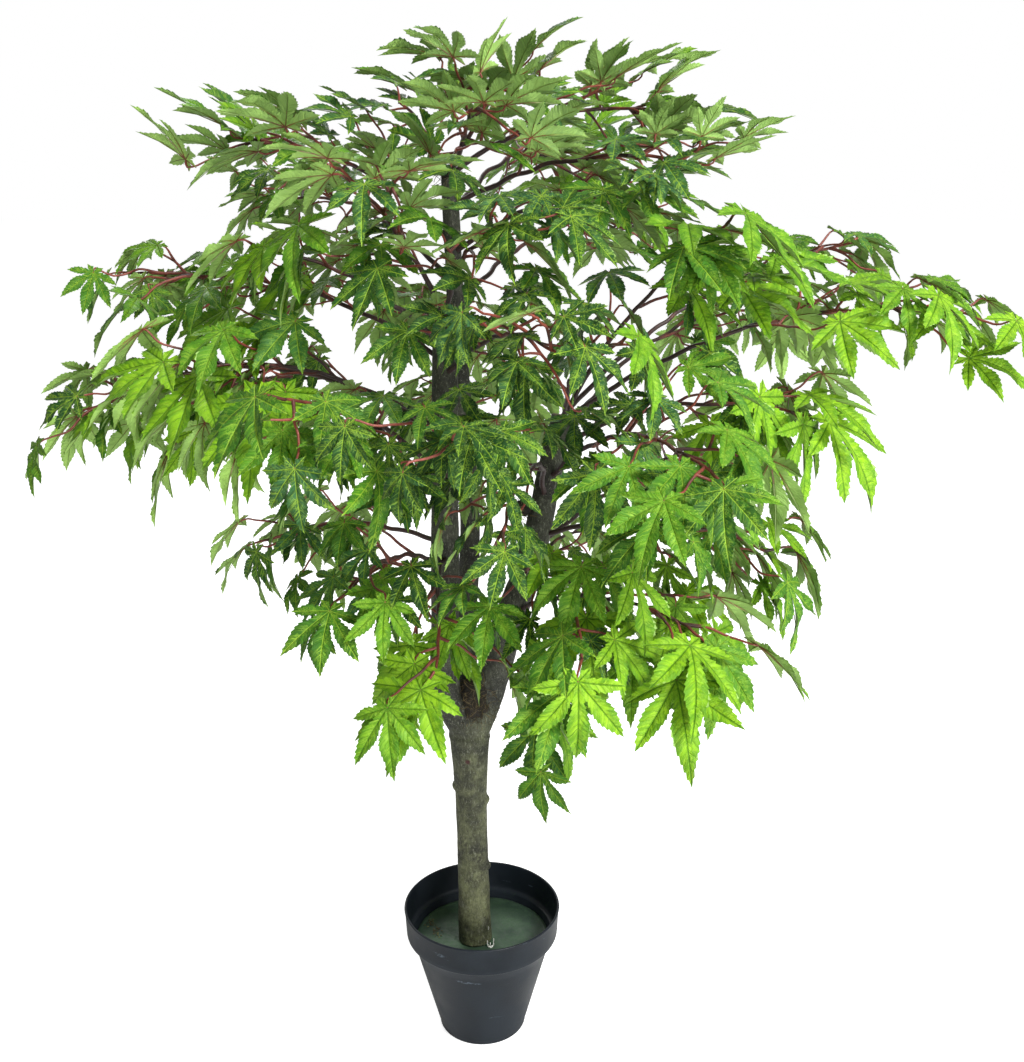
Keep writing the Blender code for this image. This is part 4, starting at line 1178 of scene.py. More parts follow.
@functools.cache
def grown_tree():
    """The limbs of every spray, and its leaves with their true lengths."""
    grower = Grower()
    for name in ("trunk", *("stem_" + stem for stem in STEMS), *COIR):
        grower.solids.add(*polygons(frame["nodes"][name]))
    streams = {spray.name: random.Random(101 * i + 7) for i, spray in enumerate(SPRAYS)}
    for spray in SPRAYS:
        grower.add_wire(spray, streams[spray.name])
    leaves = {spray.name: grower.grow_mass(spray, streams[spray.name]) for spray in SPRAYS}
    held = {
        name: [leaf._replace(length=leaf.length / LARGER) for leaf in grown]
        for name, grown in leaves.items()
    }
    grower.larger = 1.0
    grower.loose = FINE_LOOSE
    for i, spray in enumerate(SPRAYS):
        grower.boxes[spray.name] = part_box("leaves_" + spray.name)
        held[spray.name] += grower.grow_finer(spray, leaves[spray.name], random.Random(211 * i + 3))
    return grower.limbs, held


# Shapes of the pot and its fill

def turned_mesh(name, profile, steps):
    """A shell turned round the Z axis from a profile that runs down its outer side and up its inner one."""
    form = bmesh.new()
    corners = [form.verts.new((r, 0, z)) for r, z in profile]
    edges = [form.edges.new(pair) for pair in zip(corners, corners[1:])]
    bmesh.ops.spin(
        form, geom=corners + edges, cent=(0, 0, 0), axis=(0, 0, 1),
        angle=2 * math.pi, steps=steps, use_merge=True,
    )
    bmesh.ops.remove_doubles(form, verts=form.verts, dist=0.00002)
    bmesh.ops.recalc_face_normals(form, faces=form.faces)
    mesh = mesh_of(name, form)
    mesh.shade_smooth()
    return mesh


def body_radius(z):
    """The pot's outer radius under its collar."""
    return FOOT_RADIUS + (BODY_RADIUS - FOOT_RADIUS) * z / (POT_HEIGHT - COLLAR_HEIGHT)


def arc(r, z, radius, first, last, steps=5):
    """Points of a profile round a corner, by angles in degrees from +R towards +Z."""
    angles = [math.radians(first + (last - first) * i / steps) for i in range(steps + 1)]
    return [(r + radius * math.cos(a), z + radius * math.sin(a)) for a in angles]


def pot_profile():
    """The pot's section, from the middle of its floor inside, over the rim and down to its underside."""
    ledge = POT_HEIGHT - COLLAR_HEIGHT
    rim = LIP / 2
    inside = [(0, 0.002), (FOOT_RADIUS - 0.004, 0.002), (body_radius(0.006) - WALL, 0.006)]
    inside += [(BODY_RADIUS - WALL, ledge - 0.002), (BODY_RADIUS - WALL + 0.0012, ledge + WALL)]
    inside += [
        (COLLAR_FOOT_RADIUS - WALL - 0.0015, ledge + WALL + 0.0012),
        (COLLAR_FOOT_RADIUS - WALL, ledge + 0.006),
    ]
    over = arc(RIM_RADIUS - rim, POT_HEIGHT - rim, rim, 180, -20, 9)
    outside = [
        (RIM_RADIUS - 0.0008, POT_HEIGHT - LIP - 0.0012),
        (COLLAR_FOOT_RADIUS + 0.0006, ledge + 0.010),
    ]
    outside += arc(COLLAR_FOOT_RADIUS - 0.0030, ledge + 0.0052, 0.0032, -8, -58, 4)
    outside += [(BODY_RADIUS + 0.0009, ledge - 0.0002), (BODY_RADIUS + 0.0001, ledge - 0.0014)]
    outside += [
        (body_radius(ledge - 0.011) + 0.00010, ledge - 0.0105),
        (body_radius(ledge - 0.012) - 0.00015, ledge - 0.0118),
    ]
    outside += [(body_radius(0.050), 0.050), (body_radius(0.004), 0.0035)]
    foot = arc(FOOT_RADIUS - 0.0006, 0.0016, 0.0016, 10, -90, 4)
    under = [(FOOT_RADIUS - 0.006, 0.0), (FOOT_RADIUS - 0.0072, 0.0009), (0, 0.0009)]
    return inside + over + outside + foot + under


# Wood, coir, wires and leaves

def lines_object(name, lines):
    """A mesh of edges along lines of points, with the radius at each point as its thickness."""
    points, edges, radii = [], [], []
    for line, thick in lines:
        start = len(points)
        points += [tuple(p) for p in line]
        radii += thick
        edges += [(i, i + 1) for i in range(start, len(points) - 1)]
    mesh = bpy.data.meshes.new(name)
    mesh.from_pydata(points, edges, [])
    give_points(mesh, "thick", radii)
    return add_object(name, mesh)


@functools.cache
def kink_group():
    """A smooth field of small bends, the same for all that meets at a point."""
    group, tree, given, end = node_group(
        "GeometryNodeTree", "kinks", {"Size": FLOAT, "Length": FLOAT}, {"Offset": VECTOR},
    )
    place = tree.first("GeometryNodeInputPosition")
    scale = tree.math("DIVIDE", 1.0, given["Length"])
    inputs = {"Vector": place, "Scale": scale, "Detail": 1.0, "Roughness": 0.5}
    field = tree.add("ShaderNodeTexNoise", inputs).outputs["Color"]
    off = tree.vector("SUBTRACT", field, (0.5, 0.5, 0.5))
    bend = tree.scaled(off, tree.times(given["Size"], 4.0))
    finish_group(tree, end, {"Offset": bend})
    return group


@functools.cache
def tube_group():
    """Round tubes along lines, as thick as each line's points say, with the bends of the kinks."""
    group, tree, given, end = node_group(
        "GeometryNodeTree", "tubes",
        {
            "Geometry": MESH, "Spacing": FLOAT, "Sides": WHOLE,
            "Kinks": FLOAT, "Kink length": FLOAT, "Material": MATERIAL,
        },
        {"Geometry": MESH},
    )
    curve = tree.mesh("MeshToCurve", given["Geometry"])
    inputs = {"Curve": curve, "Length": given["Spacing"]}
    curve = tree.first("GeometryNodeResampleCurve", inputs, mode="LENGTH")
    bend = tree.group(kink_group(), {"Size": given["Kinks"], "Length": given["Kink length"]})["Offset"]
    curve = tree.mesh("SetPosition", curve, Offset=bend)
    thick = tree.named("thick")
    inputs = {"Resolution": given["Sides"], "Radius": 1.0}
    circle = tree.first("GeometryNodeCurvePrimitiveCircle", inputs)
    inputs = {"Curve": curve, "Profile Curve": circle, "Scale": thick, "Fill Caps": True}
    tube = tree.first("GeometryNodeCurveToMesh", inputs)
    tube = tree.mesh("RealizeInstances", tube)
    tube = tree.mesh("SetMaterial", tube, Material=given["Material"])
    finish_group(tree, end, {"Geometry": tube})
    return group


def wood_lines():
    """The lines and radii of the trunk and of the stems, from the fork to their cut ends."""
    trunk = smooth_line(TRUNK_LINE, 4)
    radii = [r for a, b in zip(TRUNK_RADII, TRUNK_RADII[1:]) for r in spread(a, b, 5)[:-1]]
    lines = {"trunk": (trunk, [*radii, TRUNK_RADII[-1]])}
    for name, (points, (first, last)) in STEMS.items():
        line = smooth_line(points, 4)
        lines[name] = (line, spread(first, last, len(line)))
    return lines


def rough_bark(mesh, settings):
    """Raises lumps, upright wrinkles and small rings on the wood, and marks its scar and cut ends."""
    tops = [Vector(points[-1]) for points, _ in STEMS.values()]
    wide, high = TOP_REACH
    mesh.update()
    normals = [v.normal.copy() for v in mesh.vertices]
    scar = [max(0.0, 1 - (v.co - Vector(SCAR)).length / SCAR_SIZE) for v in mesh.vertices]
    cut = []
    for vertex, normal, hollow in zip(mesh.vertices, normals, scar):
        p = vertex.co
        by_top = any((p - top).length < wide and abs(p.z - top.z) < high for top in tops)
        is_top = normal.z > 0.75 and by_top
        cut.append(1.0 if is_top else 0.0)
        if p.z < FILL_TOP + 2 * GAP or is_top:
            continue
        lump, wrinkle, ring = (
            noise.noise(Vector((across * p.x, across * p.y, upright * p.z)))
            for across, upright in (BARK_LUMPS, BARK_WRINKLES, BARK_RINGS)
        )
        height = settings.lump * (lump - hollow) + settings.wrinkle * (wrinkle + 0.5 * ring)
        vertex.co = p + height * normal
    give_points(mesh, "cut_end", cut)
    give_points(mesh, "scar", scar)


def knob_points(lines):
    """Centre, way out and size of each pruned knob."""
    for limb, azimuth, height, knob in KNOTS:
        line, radii = lines[limb]
        centre, _ = point_at_height(line, height)
        near = min(range(len(line)), key=lambda i: abs(line[i].z - height))
        out = direction(azimuth, 8)
        yield centre + (radii[near] - 0.3 * knob) * out, out, knob


class LeafMaker:
    """Makes one leaf of unit length, hub at the origin, middle lobe along +X, face up: a closed, thin mesh.

    Its faces' part is 0 on the upper side, 1 on the under side and 2 on the ribs.
    """

    def __init__(self, settings, rng):
        self.settings = settings
        self.rng = rng
        self.form = bmesh.new()
        self.lobe_map = self.form.loops.layers.uv.new("lobe")
        self.part = self.form.faces.layers.int.new("part")
        self.found = {}

    def vertex(self, point):
        key = tuple(round(c, 5) for c in point)
        if key not in self.found:
            self.found[key] = self.form.verts.new(point)
        return self.found[key]

    def face(self, corners, part):
        """A face from corners with their places on the lobe's map, left out where its corners coincide."""
        points = [self.vertex(point) for point, _ in corners]
        kept = [i for i in range(len(points)) if points[i] is not points[i - 1]]
        if len(kept) < 3:
            return
        made = self.form.faces.new([points[i] for i in kept])
        made[self.part] = part
        made.smooth = True
        for loop, i in zip(made.loops, kept):
            loop[self.lobe_map].uv = corners[i][1]

    def lobe(self, lobe, turn, slits):
        """One lobe at an angle, with the half angle and the foot of the slit on each side of it."""
        rng, fold, thick = self.rng, self.settings.fold, self.settings.thickness
        bend, twist = rng.uniform(-0.08, 0.38), rng.uniform(-0.55, 0.55)
        sideways, ripple = rng.uniform(-0.14, 0.14), rng.uniform(0.3, 1.1)
        phase = rng.uniform(0, 2 * math.pi)
        length = lobe.length * rng.uniform(0.94, 1.04)
        free = 0.5 * sum(slit * math.cos(math.radians(half)) for half, slit in slits)
        stations = [0.0, 0.5 * free] + spread(free, length, lobe.teeth + 1)
        turned = Matrix.Rotation(math.radians(turn), 3, "Z")

        def bent(x, y, lift=0.0, loose=1.0):
            past = loose * max(0.0, x - free)
            z = fold * abs(y) - LEAF_SAG * (x * x + y * y) - bend * past * past + lift
            z += ripple * past * abs(y) * math.sin(phase + 10 * x + (1.7 if y > 0 else 0))
            z += twist * y * past
            return turned @ Vector((x, y + sideways * past * past, z))

        for side, (half, slit) in zip((-1, 1), slits):
            h = math.radians(half)
            edge = [(part * slit * math.cos(h), part * slit * math.sin(h)) for part in (0.0, 0.5, 1.0)]
            for x in stations[3:-1]:
                wide = lobe.width * float(np.interp(x / length, *LOBE_FORM))
                edge.append((x, min(wide, x * math.tan(h) - SLIT_WIDTH)))
            edge.append((length, 0.0))
            rows = []
            for row, (x, (ex, ey)) in enumerate(zip(stations, edge)):
                loose = float(row > 2)
                middle = 0.5 * thick * (row < len(stations) - 1)
                lift = 0.5 * thick * (row < 2)
                puff = 0.10 * ey + 0.5 * (middle + lift)
                cx, cy = 0.5 * (x + ex), 0.52 * ey
                rows.append({
                    "rib": (bent(x, 0, middle, loose), (x, 0.5)),
                    "under_rib": (bent(x, 0, -middle, loose), (x, 0.5)),
                    "half": (bent(cx, side * cy, puff, loose), (cx, 0.5 + side * cy)),
                    "edge": (bent(ex, side * ey, lift, loose), (ex, 0.5 + side * ey)),
                    "under_edge": (bent(ex, side * ey, -lift, loose), (ex, 0.5 + side * ey)),
                })
            for row, (a, b) in enumerate(zip(rows, rows[1:])):
                tip = []
                if 2 <= row < len(rows) - 2:
                    tip = [self.tooth_tip(a["edge"], b["edge"], bent, side)]
                    self.face([a["edge"], b["edge"], *tip][::side], 0)
                self.face([a["rib"], b["rib"], b["half"], a["half"]][::side], 0)
                self.face([a["half"], b["half"], b["edge"], a["edge"]][::side], 0)
                below = [a["under_rib"], b["under_rib"], b["under_edge"], *tip, a["under_edge"]]
                self.face(below[::-side], 1)
        self.rib(bent, free, length)

    @staticmethod
    def tooth_tip(a, b, bent, side):
        """The tip of a saw tooth that leans forward from one stretch of the edge."""
        (ax, ay), (bx, by) = a[1], b[1]
        depth = TOOTH_DEPTH * math.hypot(bx - ax, by - ay)
        x = ax + TOOTH_LEAN * (bx - ax)
        y = side * (ay + TOOTH_LEAN * (by - ay) - 0.5) + depth
        return bent(x, side * y), (x, 0.5 + side * y)

    def rib(self, bent, free, length):
        """The three-sided rib moulded under a lobe, from the hub nearly to the lobe's tip."""
        deep = 0.5 * self.settings.thickness
        rings = []
        stations = (RIB_START, free, 0.5 * (free + length), RIB_THIN * length)
        for x, wide in zip(stations, RIB_HALF_WIDTHS):
            places = ((wide, -0.4 * deep), (-wide, -0.4 * deep), (0.0, -deep - 1.3 * wide))
            rings.append([(bent(x, y, lift), (x, 0.5)) for y, lift in places])
        tip = (bent(RIB_END * length, 0.0, -0.4 * deep), (length, 0.5))
        self.face(rings[0], 2)
        for a, b in zip(rings, [*rings[1:], [tip] * 3]):
            for i in range(3):
                j = (i + 1) % 3
                self.face([a[i], a[j], b[j], b[i]], 2)

    def hub(self):
        """The small boss on the hub's upper side, where the stalk's end comes through."""
        top = ((0.0, 0.0, BOSS_HEIGHT), (0.0, 0.5))
        ring = [
            ((BOSS_RADIUS * math.cos(a), BOSS_RADIUS * math.sin(a), 0.0), (0.0, 0.5))
            for a in (math.radians(60 * i) for i in range(6))
        ]
        for a, b in zip(ring, [*ring[1:], ring[0]]):
            self.face([a, b, top], 2)
        self.face(ring[::-1], 2)


def leaf_shape(settings, number):
    """The mesh of one leaf shape, whose lobes differ a little in length, bend and twist."""
    maker = LeafMaker(settings, random.Random(17 * number + 5))
    for i, lobe in enumerate(LOBES):
        inner = (lobe.angle - SLITS[i - 1][0], SLITS[i - 1][1])
        outer = (SLITS[i][0] - lobe.angle, SLITS[i][1])
        if i == 0:
            maker.lobe(lobe, 0, (outer, outer))
        else:
            maker.lobe(lobe, lobe.angle, (inner, outer))
            maker.lobe(lobe, -lobe.angle, (outer, inner))
    maker.hub()
    bmesh.ops.recalc_face_normals(maker.form, faces=maker.form.faces)
    mesh = mesh_of(f"leaf_{number:02d}", maker.form)
    mesh.set_sharp_from_angle(angle=math.radians(LEAF_CREASE))
    return mesh


@functools.cache
def leaves_group():
    """Stands leaves on points by their turn, size and shape, and gives each part of them its material."""
    materials = ("Upper", "Under", "Ribs")
    group, tree, given, end = node_group(
        "GeometryNodeTree", "leaves",
        {
            "Geometry": MESH, "Shapes": COLLECTION, "Kinks": FLOAT, "Kink length": FLOAT,
            **dict.fromkeys(materials, MATERIAL),
        },
        {"Geometry": MESH},
    )
    bend = tree.group(kink_group(), {"Size": given["Kinks"], "Length": given["Kink length"]})["Offset"]
    points = tree.mesh("SetPosition", given["Geometry"], Offset=bend)
    shapes = tree.first("GeometryNodeCollectionInfo", {0: given["Shapes"], 1: True, 2: True})
    turn = tree.named("turn", "FLOAT_VECTOR")
    shape = tree.named("shape", "INT")
    long = tree.named("size")
    rotation = tree.first("FunctionNodeEulerToRotation", {0: turn})
    inputs = {
        "Points": points, "Instance": shapes, "Pick Instance": True, "Instance Index": shape,
        "Rotation": rotation, "Scale": long,
    }
    standing = tree.first("GeometryNodeInstanceOnPoints", inputs)
    made = tree.mesh("RealizeInstances", standing)
    part = tree.named("part", "INT")
    for number, name in enumerate(materials):
        inputs = {2: part, 3: number}
        same = tree.first("FunctionNodeCompare", inputs, data_type="INT", operation="EQUAL")
        made = tree.mesh("SetMaterial", made, Selection=same, Material=given[name])
    finish_group(tree, end, {"Geometry": made})
    return group


@functools.cache
def fibres_group():
    """Loose curved fibres all over a packed core, most of them lying along it."""
    group, tree, given, end = node_group(
        "GeometryNodeTree", "fibres",
        {"Geometry": MESH, "Length": FLOAT, "Density": FLOAT, "Core": MATERIAL, "Fibre": MATERIAL},
        {"Geometry": MESH},
    )
    core = tree.mesh("SetMaterial", given["Geometry"], Material=given["Core"])
    inputs = {"Mesh": given["Geometry"], "Density": given["Density"], "Seed": 4}
    spots = tree.add("GeometryNodeDistributePointsOnFaces", inputs)
    bow = {"Resolution": 5, "Start": (0, 0, -0.08), "Middle": (0.30, 0.05, 0.55), "End": (-0.05, 0.12, 1.0)}
    curve = tree.first("GeometryNodeCurveQuadraticBezier", bow)
    circle = tree.first("GeometryNodeCurvePrimitiveCircle", {"Resolution": 3, "Radius": 0.020})
    inputs = {"Curve": curve, "Profile Curve": circle, "Fill Caps": True}
    fibre = tree.first("GeometryNodeCurveToMesh", inputs)
    turned = spots.outputs["Rotation"]
    for low, high, seed in (((0, 0, -3.1), (0, 0, 3.1), 2), ((0.5, -0.6, -3.1), (1.55, 0.6, 3.1), 9)):
        inputs = {0: low, 1: high, "Seed": seed}
        turn = tree.first("FunctionNodeRandomValue", inputs, data_type="FLOAT_VECTOR")
        inputs = {0: turned, 1: turn}
        turned = tree.first("FunctionNodeRotateRotation", inputs, rotation_space="LOCAL")
    inputs = {2: FIBRE_SHORTEST, 3: FIBRE_LONGEST, "Seed": 5}
    portion = tree.add("FunctionNodeRandomValue", inputs, data_type="FLOAT").outputs[1]
    long = tree.times(portion, given["Length"])
    inputs = {"Points": spots.outputs[0], "Instance": fibre, "Rotation": turned, "Scale": long}
    loose = tree.first("GeometryNodeInstanceOnPoints", inputs)
    loose = tree.mesh("RealizeInstances", loose)
    loose = tree.mesh("SetMaterial", loose, Material=given["Fibre"])
    joined = tree.add("GeometryNodeJoinGeometry")
    for part in (loose, core):
        tree.join(part, joined, 0)
    finish_group(tree, end, {"Geometry": joined.outputs[0]})
    return group


def smooth_wire(points, radii, steps):
    """A curve through a wire's points, with the radius at each of its own points."""
    line = smooth_line(points, steps)
    thick = [a + (b - a) * i / steps for a, b in zip(radii, radii[1:]) for i in range(steps)]
    return line, [*thick, radii[-1]]


def stalk_line(leaf):
    """The smooth line of a leaf's twig and stalk, which bends at its end to meet the leaf from behind."""
    hub = leaf.place.translation
    ahead, face = leaf.place.to_3x3().col[0], leaf.place.to_3x3().col[2]
    behind = hub - STALK_BACK * ahead - STALK_UNDER * face
    radii = [1.35 * leaf.radii[0], *leaf.radii[1:], 0.85 * PETIOLE_RADIUS, 0.80 * PETIOLE_RADIUS]
    return smooth_wire([*leaf.line, behind, hub], radii, 3)


def balls_mesh(name, balls, subdivisions):
    """Rough balls, each with its centre and half sizes."""
    form = bmesh.new()
    for centre, sizes in balls:
        place = Matrix.LocRotScale(Vector(centre), None, Vector(sizes))
        made = bmesh.ops.create_icosphere(form, subdivisions=subdivisions, radius=1.0, matrix=place)
        for vertex in made["verts"]:
            out = vertex.co - Vector(centre)
            vertex.co += BALL_ROUGHNESS * noise.noise(BALL_GRAIN * vertex.co) * out
    mesh = mesh_of(name, form)
    mesh.shade_smooth()
    return mesh


def leaf_level(leaf, spray, rng):
    """How bright a leaf's print is: the leaves further out from the crown's middle are the brighter ones."""
    out = min(1.0, leaf.place.translation.xy.length / CROWN_RADIUS)
    middle = TONE_LEVEL[spray.tone] + BRIGHTER.get(spray.name, 0.0) + OUTER_BRIGHTER * (out - 0.6)
    return min(1.0, max(0.0, rng.gauss(middle, LEVEL_SPREAD)))


def leaf_points(name, leaves, levels, rng):
    """Points at the leaves' hubs, with the turn, size, shape and level of print of each leaf."""
    mesh = bpy.data.meshes.new(name)
    mesh.from_pydata([tuple(leaf.place.translation) for leaf in leaves], [], [])
    turns = [part for leaf in leaves for part in leaf.place.to_euler()]
    sizes = [leaf.length * (1 - DARK_SMALLER * (1 - level)) for leaf, level in zip(leaves, levels)]
    give_points(mesh, "turn", turns, "FLOAT_VECTOR", "vector")
    give_points(mesh, "level", levels)
    give_points(mesh, "size", sizes)
    give_points(mesh, "shape", [rng.randrange(LEAF_SHAPES) for _ in leaves], "INT")
    return add_object(name, mesh)


def add_lamp(name, place, wide, power):
    light = bpy.data.lights.new(name, "AREA")
    light.shape = "DISK"
    light.size = wide
    light.energy = power
    lamp = add_object(name, light)
    lamp.location = place
    lamp.rotation_euler = (Vector(place) - Vector(LAMPS_AIM)).to_track_quat("Z", "Y").to_euler()


# Operators

class MAPLE_OT_pot(bpy.types.Operator):
    """Turn the pot with its rolled lip, wide collar and foot"""

    bl_idname = "maple.pot"
    bl_label = "Pot"
    bl_options = {"REGISTER", "UNDO"}

    def execute(self, context):
        pot = add_object("nursery_pot", turned_mesh("nursery_pot", pot_profile(), POT_STEPS))
        pot.data.set_sharp_from_angle(angle=math.radians(POT_CREASE))
        pot.data.materials.append(plastic_material(context.scene.maple_pot))
        put_on(pot, "pot", "pot")
        return {"FINISHED"}


class MAPLE_OT_fill(bpy.types.Operator):
    """Pour the set fill, with the glue at the trunk's foot and a few crumbs"""

    bl_idname = "maple.fill"
    bl_label = "Fill"
    bl_options = {"REGISTER", "UNDO"}

    def execute(self, context):
        settings = context.scene.maple_pot
        radius = body_radius(FILL_TOP) - WALL - 0.0002
        foot = body_radius(FILL_FOOT) - WALL - 0.0003
        profile = [(radius * i / FILL_RINGS, FILL_TOP) for i in range(FILL_RINGS + 1)]
        profile += [(radius, FILL_TOP - 0.002), (foot, FILL_FOOT), (0, FILL_FOOT)]
        fill = add_object("set_fill", turned_mesh("set_fill", profile, FILL_STEPS))
        for vertex in fill.data.vertices:
            if vertex.co.z > FILL_TOP - 0.0001:
                p = vertex.co
                wave = noise.noise(Vector((34 * p.x, 34 * p.y, 3.0)))
                wave += 0.35 * noise.noise(Vector((120 * p.x, 120 * p.y, 9.0)))
                near_wall = max(0.0, (p.xy.length - radius + FILL_CREEP) / FILL_CREEP)
                p.z += settings.wave * (wave + 1.6 * near_wall * near_wall)
        fill.data.materials.append(fill_material(settings))
        put_on(fill, "pot_fill", "pot_fill")
        self.make_glue()
        self.make_crumbs()
        return {"FINISHED"}

    def make_glue(self):
        """White glue in strings at the trunk's foot."""
        strings = []
        for start, middle, end, thick in GLUE_STRINGS:
            line = smooth_line([start, middle, end], 4)
            strings.append((line, [thick * (1 + 0.4 * math.sin(2.2 * i)) for i in range(len(line))]))
        glue = lines_object("glue", strings)
        paste = plain_material("white_glue", (0.50, 0.50, 0.46), (0.78, 0.78, 0.74), 0.25, 300.0, 0.1)
        run_geometry(glue, tube_group(), {
            "Spacing": 0.0010, "Sides": 8, "Kinks": 0.0007, "Kink length": 0.005, "Material": paste,
        })
        glue.data.shade_smooth()
        put_on(glue, "pot_fill")

    def make_crumbs(self):
        """Crumbs of dry moss that lie on the fill by the pot's wall."""
        rng = random.Random(12)
        crumbs = []
        for _ in range(CRUMBS):
            x, y = Vector(CRUMBS_FROM).lerp(Vector(CRUMBS_TO), rng.random())
            x, y = rng.gauss(x, 0.0030), rng.gauss(y, 0.0045)
            half = rng.uniform(0.0003, 0.0009)
            place = (x, y, FILL_TOP + 0.5 * half + 0.0004)
            crumbs.append((place, (half * rng.uniform(1.0, 1.8), half, 0.7 * half)))
        made = add_object("moss_crumbs", balls_mesh("moss_crumbs", crumbs, 2))
        moss = plain_material("dry_moss", (0.050, 0.040, 0.014), (0.200, 0.210, 0.090), 0.85, 70.0, 0.6)
        made.data.materials.append(moss)
        put_on(made, "pot_fill")


class MAPLE_OT_wood(bpy.types.Operator):
    """Raise the trunk and its three stems as one piece of wood with the bark's relief"""

    bl_idname = "maple.wood"
    bl_label = "Wood"
    bl_options = {"REGISTER", "UNDO"}

    def execute(self, context):
        settings = context.scene.maple_wood
        lines = wood_lines()
        wood = lines_object("maple_wood", list(lines.values()))
        run_geometry(wood, tube_group(), {
            "Spacing": 0.006, "Sides": 28, "Kinks": 0.0, "Kink length": 1.0,
            "Material": bark_material(settings),
        })
        knobs = [(centre, (knob, knob, 1.25 * knob)) for centre, _, knob in knob_points(lines)]
        knobs += [((FORK[0], FORK[1], FORK[2] - FORK_SWELL_DROP), FORK_SWELL)]
        form = bmesh.new()
        form.from_mesh(wood.data)
        form.from_mesh(balls_mesh("knobs", knobs, 3))
        form.to_mesh(wood.data)
        form.free()
        remesh = wood.modifiers.new("grow together", "REMESH")
        remesh.mode = "VOXEL"
        remesh.voxel_size = settings.detail
        remesh.use_smooth_shade = True
        soften = wood.modifiers.new("soften", "SMOOTH")
        soften.factor = 0.5
        soften.iterations = 5
        apply_modifiers(wood)
        rough_bark(wood.data, settings)
        wood.data.shade_smooth()
        put_on(wood, "bark", "trunk", *("stem_" + name for name in STEMS))
        return {"FINISHED"}


class MAPLE_OT_coir(bpy.types.Operator):
    """Stuff the tufts of coir into the fork and the holes in the stems"""

    bl_idname = "maple.coir"
    bl_label = "Coir"
    bl_options = {"REGISTER", "UNDO"}

    def execute(self, context):
        settings = context.scene.maple_coir
        cores = [(centre, tuple(COIR_CORE * s for s in sizes)) for centre, sizes in COIR.values()]
        coir = add_object("coir_tufts", balls_mesh("coir_tufts", cores, 4))
        # The fibres' tones and the near-black core carry painted shade.
        low, high = lighter(settings.fibre, 0.25), lighter(settings.fibre, 1.9)
        run_geometry(coir, fibres_group(), {
            "Length": settings.length, "Density": settings.density,
            "Core": coir_material("coir_core", settings.core, low),
            "Fibre": coir_material("coir_fibre", low, high),
        })
        put_on(coir, "coir", *COIR)
        return {"FINISHED"}


class MAPLE_OT_wires(bpy.types.Operator):
    """Bend the wires, and grow the twigs and leaf stalks on them"""

    bl_idname = "maple.wires"
    bl_label = "Wires and twigs"
    bl_options = {"REGISTER", "UNDO"}

    def execute(self, context):
        settings = context.scene.maple_wire
        limbs, leaves = grown_tree()
        paint = wire_material(settings)
        wires, stalks = [], []
        for bough, stem in limbs.values():
            points, radii = stem
            if bough:
                points, radii = bough.points + points[1:], bough.radii + radii[1:]
            root = points[0] - WIRE_SUNK * (points[1] - points[0]).normalized()
            wires.append(smooth_wire([root, *points], [radii[0], *radii], 3))
        for grown in leaves.values():
            stalks += [stalk_line(leaf) for leaf in grown]
        kinks = {"Kinks": settings.kink, "Kink length": settings.kink_length, "Material": paint}
        boughs = [name for name in frame["nodes"] if name.startswith("bough_")]
        for name, lines, spacing, sides, nodes in (
            ("spray_wires", wires, 0.004, 8, boughs), ("twigs_and_stalks", stalks, 0.0045, 6, ()),
        ):
            made = lines_object(name, lines)
            run_geometry(made, tube_group(), {"Spacing": spacing, "Sides": sides, **kinks})
            made.data.shade_smooth()
            put_on(made, "bough", *nodes)
        return {"FINISHED"}


class MAPLE_OT_leaves(bpy.types.Operator):
    """Cut the leaf shapes and stand the leaves on their stalks"""

    bl_idname = "maple.leaves"
    bl_label = "Leaves"
    bl_options = {"REGISTER", "UNDO"}

    def execute(self, context):
        scene = context.scene
        settings, wire = scene.maple_leaf, scene.maple_wire
        shapes = bpy.data.collections.new("leaf_shapes")
        scene.collection.children.link(shapes)
        for number in range(LEAF_SHAPES):
            mesh = leaf_shape(settings, number)
            shapes.objects.link(bpy.data.objects.new(mesh.name, mesh))
        _, leaves = grown_tree()
        ribs = rib_material(settings)
        rng = random.Random(31)
        sides = [leaf_material(settings, under) for under in (False, True)]
        for tone in TONES:
            for stem in STEMS:
                sprays = [spray for spray in SPRAYS if spray.tone == tone and spray.stem == stem]
                grown = [(leaf, spray) for spray in sprays for leaf in leaves[spray.name]]
                if grown:
                    levels = [leaf_level(leaf, spray, rng) for leaf, spray in grown]
                    piece = leaf_points(f"foliage_{tone}_{stem}", [leaf for leaf, _ in grown], levels, rng)
                    run_geometry(piece, leaves_group(), {
                        "Shapes": shapes, "Kinks": wire.kink, "Kink length": wire.kink_length,
                        "Upper": sides[0], "Under": sides[1], "Ribs": ribs,
                    })
                    put_on(piece, "leaf_" + tone, *("leaves_" + spray.name for spray in sprays))
        for obj in list(shapes.objects):
            bpy.data.objects.remove(obj)
        bpy.data.collections.remove(shapes)
        return {"FINISHED"}


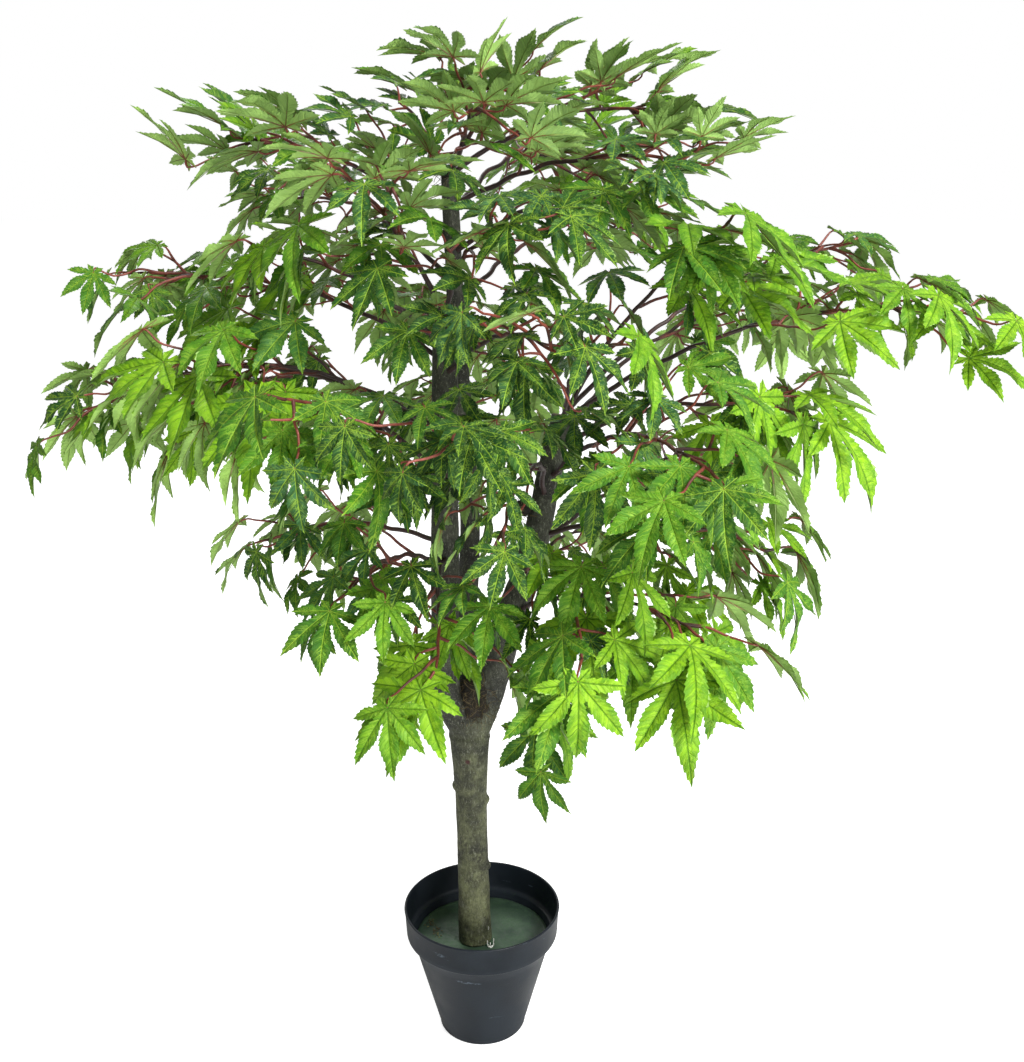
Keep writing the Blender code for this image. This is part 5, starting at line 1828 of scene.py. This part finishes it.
class MAPLE_OT_stage(bpy.types.Operator):
    """Set up the pale floor, the soft lamps and the camera"""

    bl_idname = "maple.stage"
    bl_label = "Stage"
    bl_options = {"REGISTER", "UNDO"}

    def execute(self, context):
        scene = context.scene
        settings = scene.maple_stage
        form = bmesh.new()
        below = Matrix.Translation((0, 0, -FLOOR_DROP))
        bmesh.ops.create_circle(form, cap_ends=True, segments=96, radius=FLOOR_RADIUS, matrix=below)
        floor = add_object("floor", mesh_of("floor", form))
        made, tree, shader = new_material("pale_floor")
        missing = settings.white - settings.sky * settings.floor[0]
        looks = {
            "Base Color": rgba(settings.floor), "Roughness": 0.9, "Emission Color": WHITE,
            "Emission Strength": tree.times(tree.camera_ray(), missing),
        }
        for key, value in looks.items():
            tree.join(value, shader, key)
        floor.data.materials.append(made)
        world = bpy.data.worlds.new("studio")
        world.use_nodes = True
        scene.world = world
        sky = Tree(world.node_tree)
        strength = sky.math("ADD", settings.sky, sky.times(sky.camera_ray(), settings.white - settings.sky))
        background = world.node_tree.nodes["Background"]
        sky.join(WHITE, background, "Color")
        sky.join(strength, background, "Strength")
        for name, (place, wide, power) in LAMPS.items():
            add_lamp(name, place, wide, power * settings.lamp)
        camera = bpy.data.cameras.new("camera")
        camera.lens = CAMERA_LENS
        camera.clip_start = CAMERA_NEAREST
        view = add_object("camera", camera)
        view.location = CAMERA_PLACE
        view.rotation_euler = (math.radians(90 - CAMERA_PITCH), 0, 0)
        scene.camera = view
        scene.view_settings.view_transform = "Standard"
        return {"FINISHED"}


MAKERS = (
    MAPLE_OT_stage, MAPLE_OT_pot, MAPLE_OT_fill, MAPLE_OT_wood,
    MAPLE_OT_coir, MAPLE_OT_wires, MAPLE_OT_leaves,
)
SETTINGS = {
    "maple_pot": PotSettings,
    "maple_wood": WoodSettings,
    "maple_coir": CoirSettings,
    "maple_wire": WireSettings,
    "maple_leaf": LeafSettings,
    "maple_stage": StageSettings,
}


class MAPLE_PT_panel(bpy.types.Panel):
    """Lists the makers of the tree's pieces."""

    bl_idname = "MAPLE_PT_panel"
    bl_label = "Potted Japanese maple"
    bl_space_type = "VIEW_3D"
    bl_region_type = "UI"
    bl_category = "Maple"

    def draw(self, context):
        for maker in MAKERS:
            self.layout.operator(maker.bl_idname)
        for name, group in SETTINGS.items():
            box = self.layout.box()
            for key in group.__annotations__:
                box.prop(getattr(context.scene, name), key)


def register():
    for name, group in SETTINGS.items():
        bpy.utils.register_class(group)
        setattr(bpy.types.Scene, name, PointerProperty(type=group))
    for maker in (*MAKERS, MAPLE_PT_panel):
        bpy.utils.register_class(maker)


def unregister():
    for maker in (MAPLE_PT_panel, *reversed(MAKERS)):
        bpy.utils.unregister_class(maker)
    for name, group in SETTINGS.items():
        delattr(bpy.types.Scene, name)
        bpy.utils.unregister_class(group)


def main():
    register()
    for maker in MAKERS:
        getattr(bpy.ops.maple, maker.bl_idname.split(".")[1])()


if __name__ == "__main__":
    main()
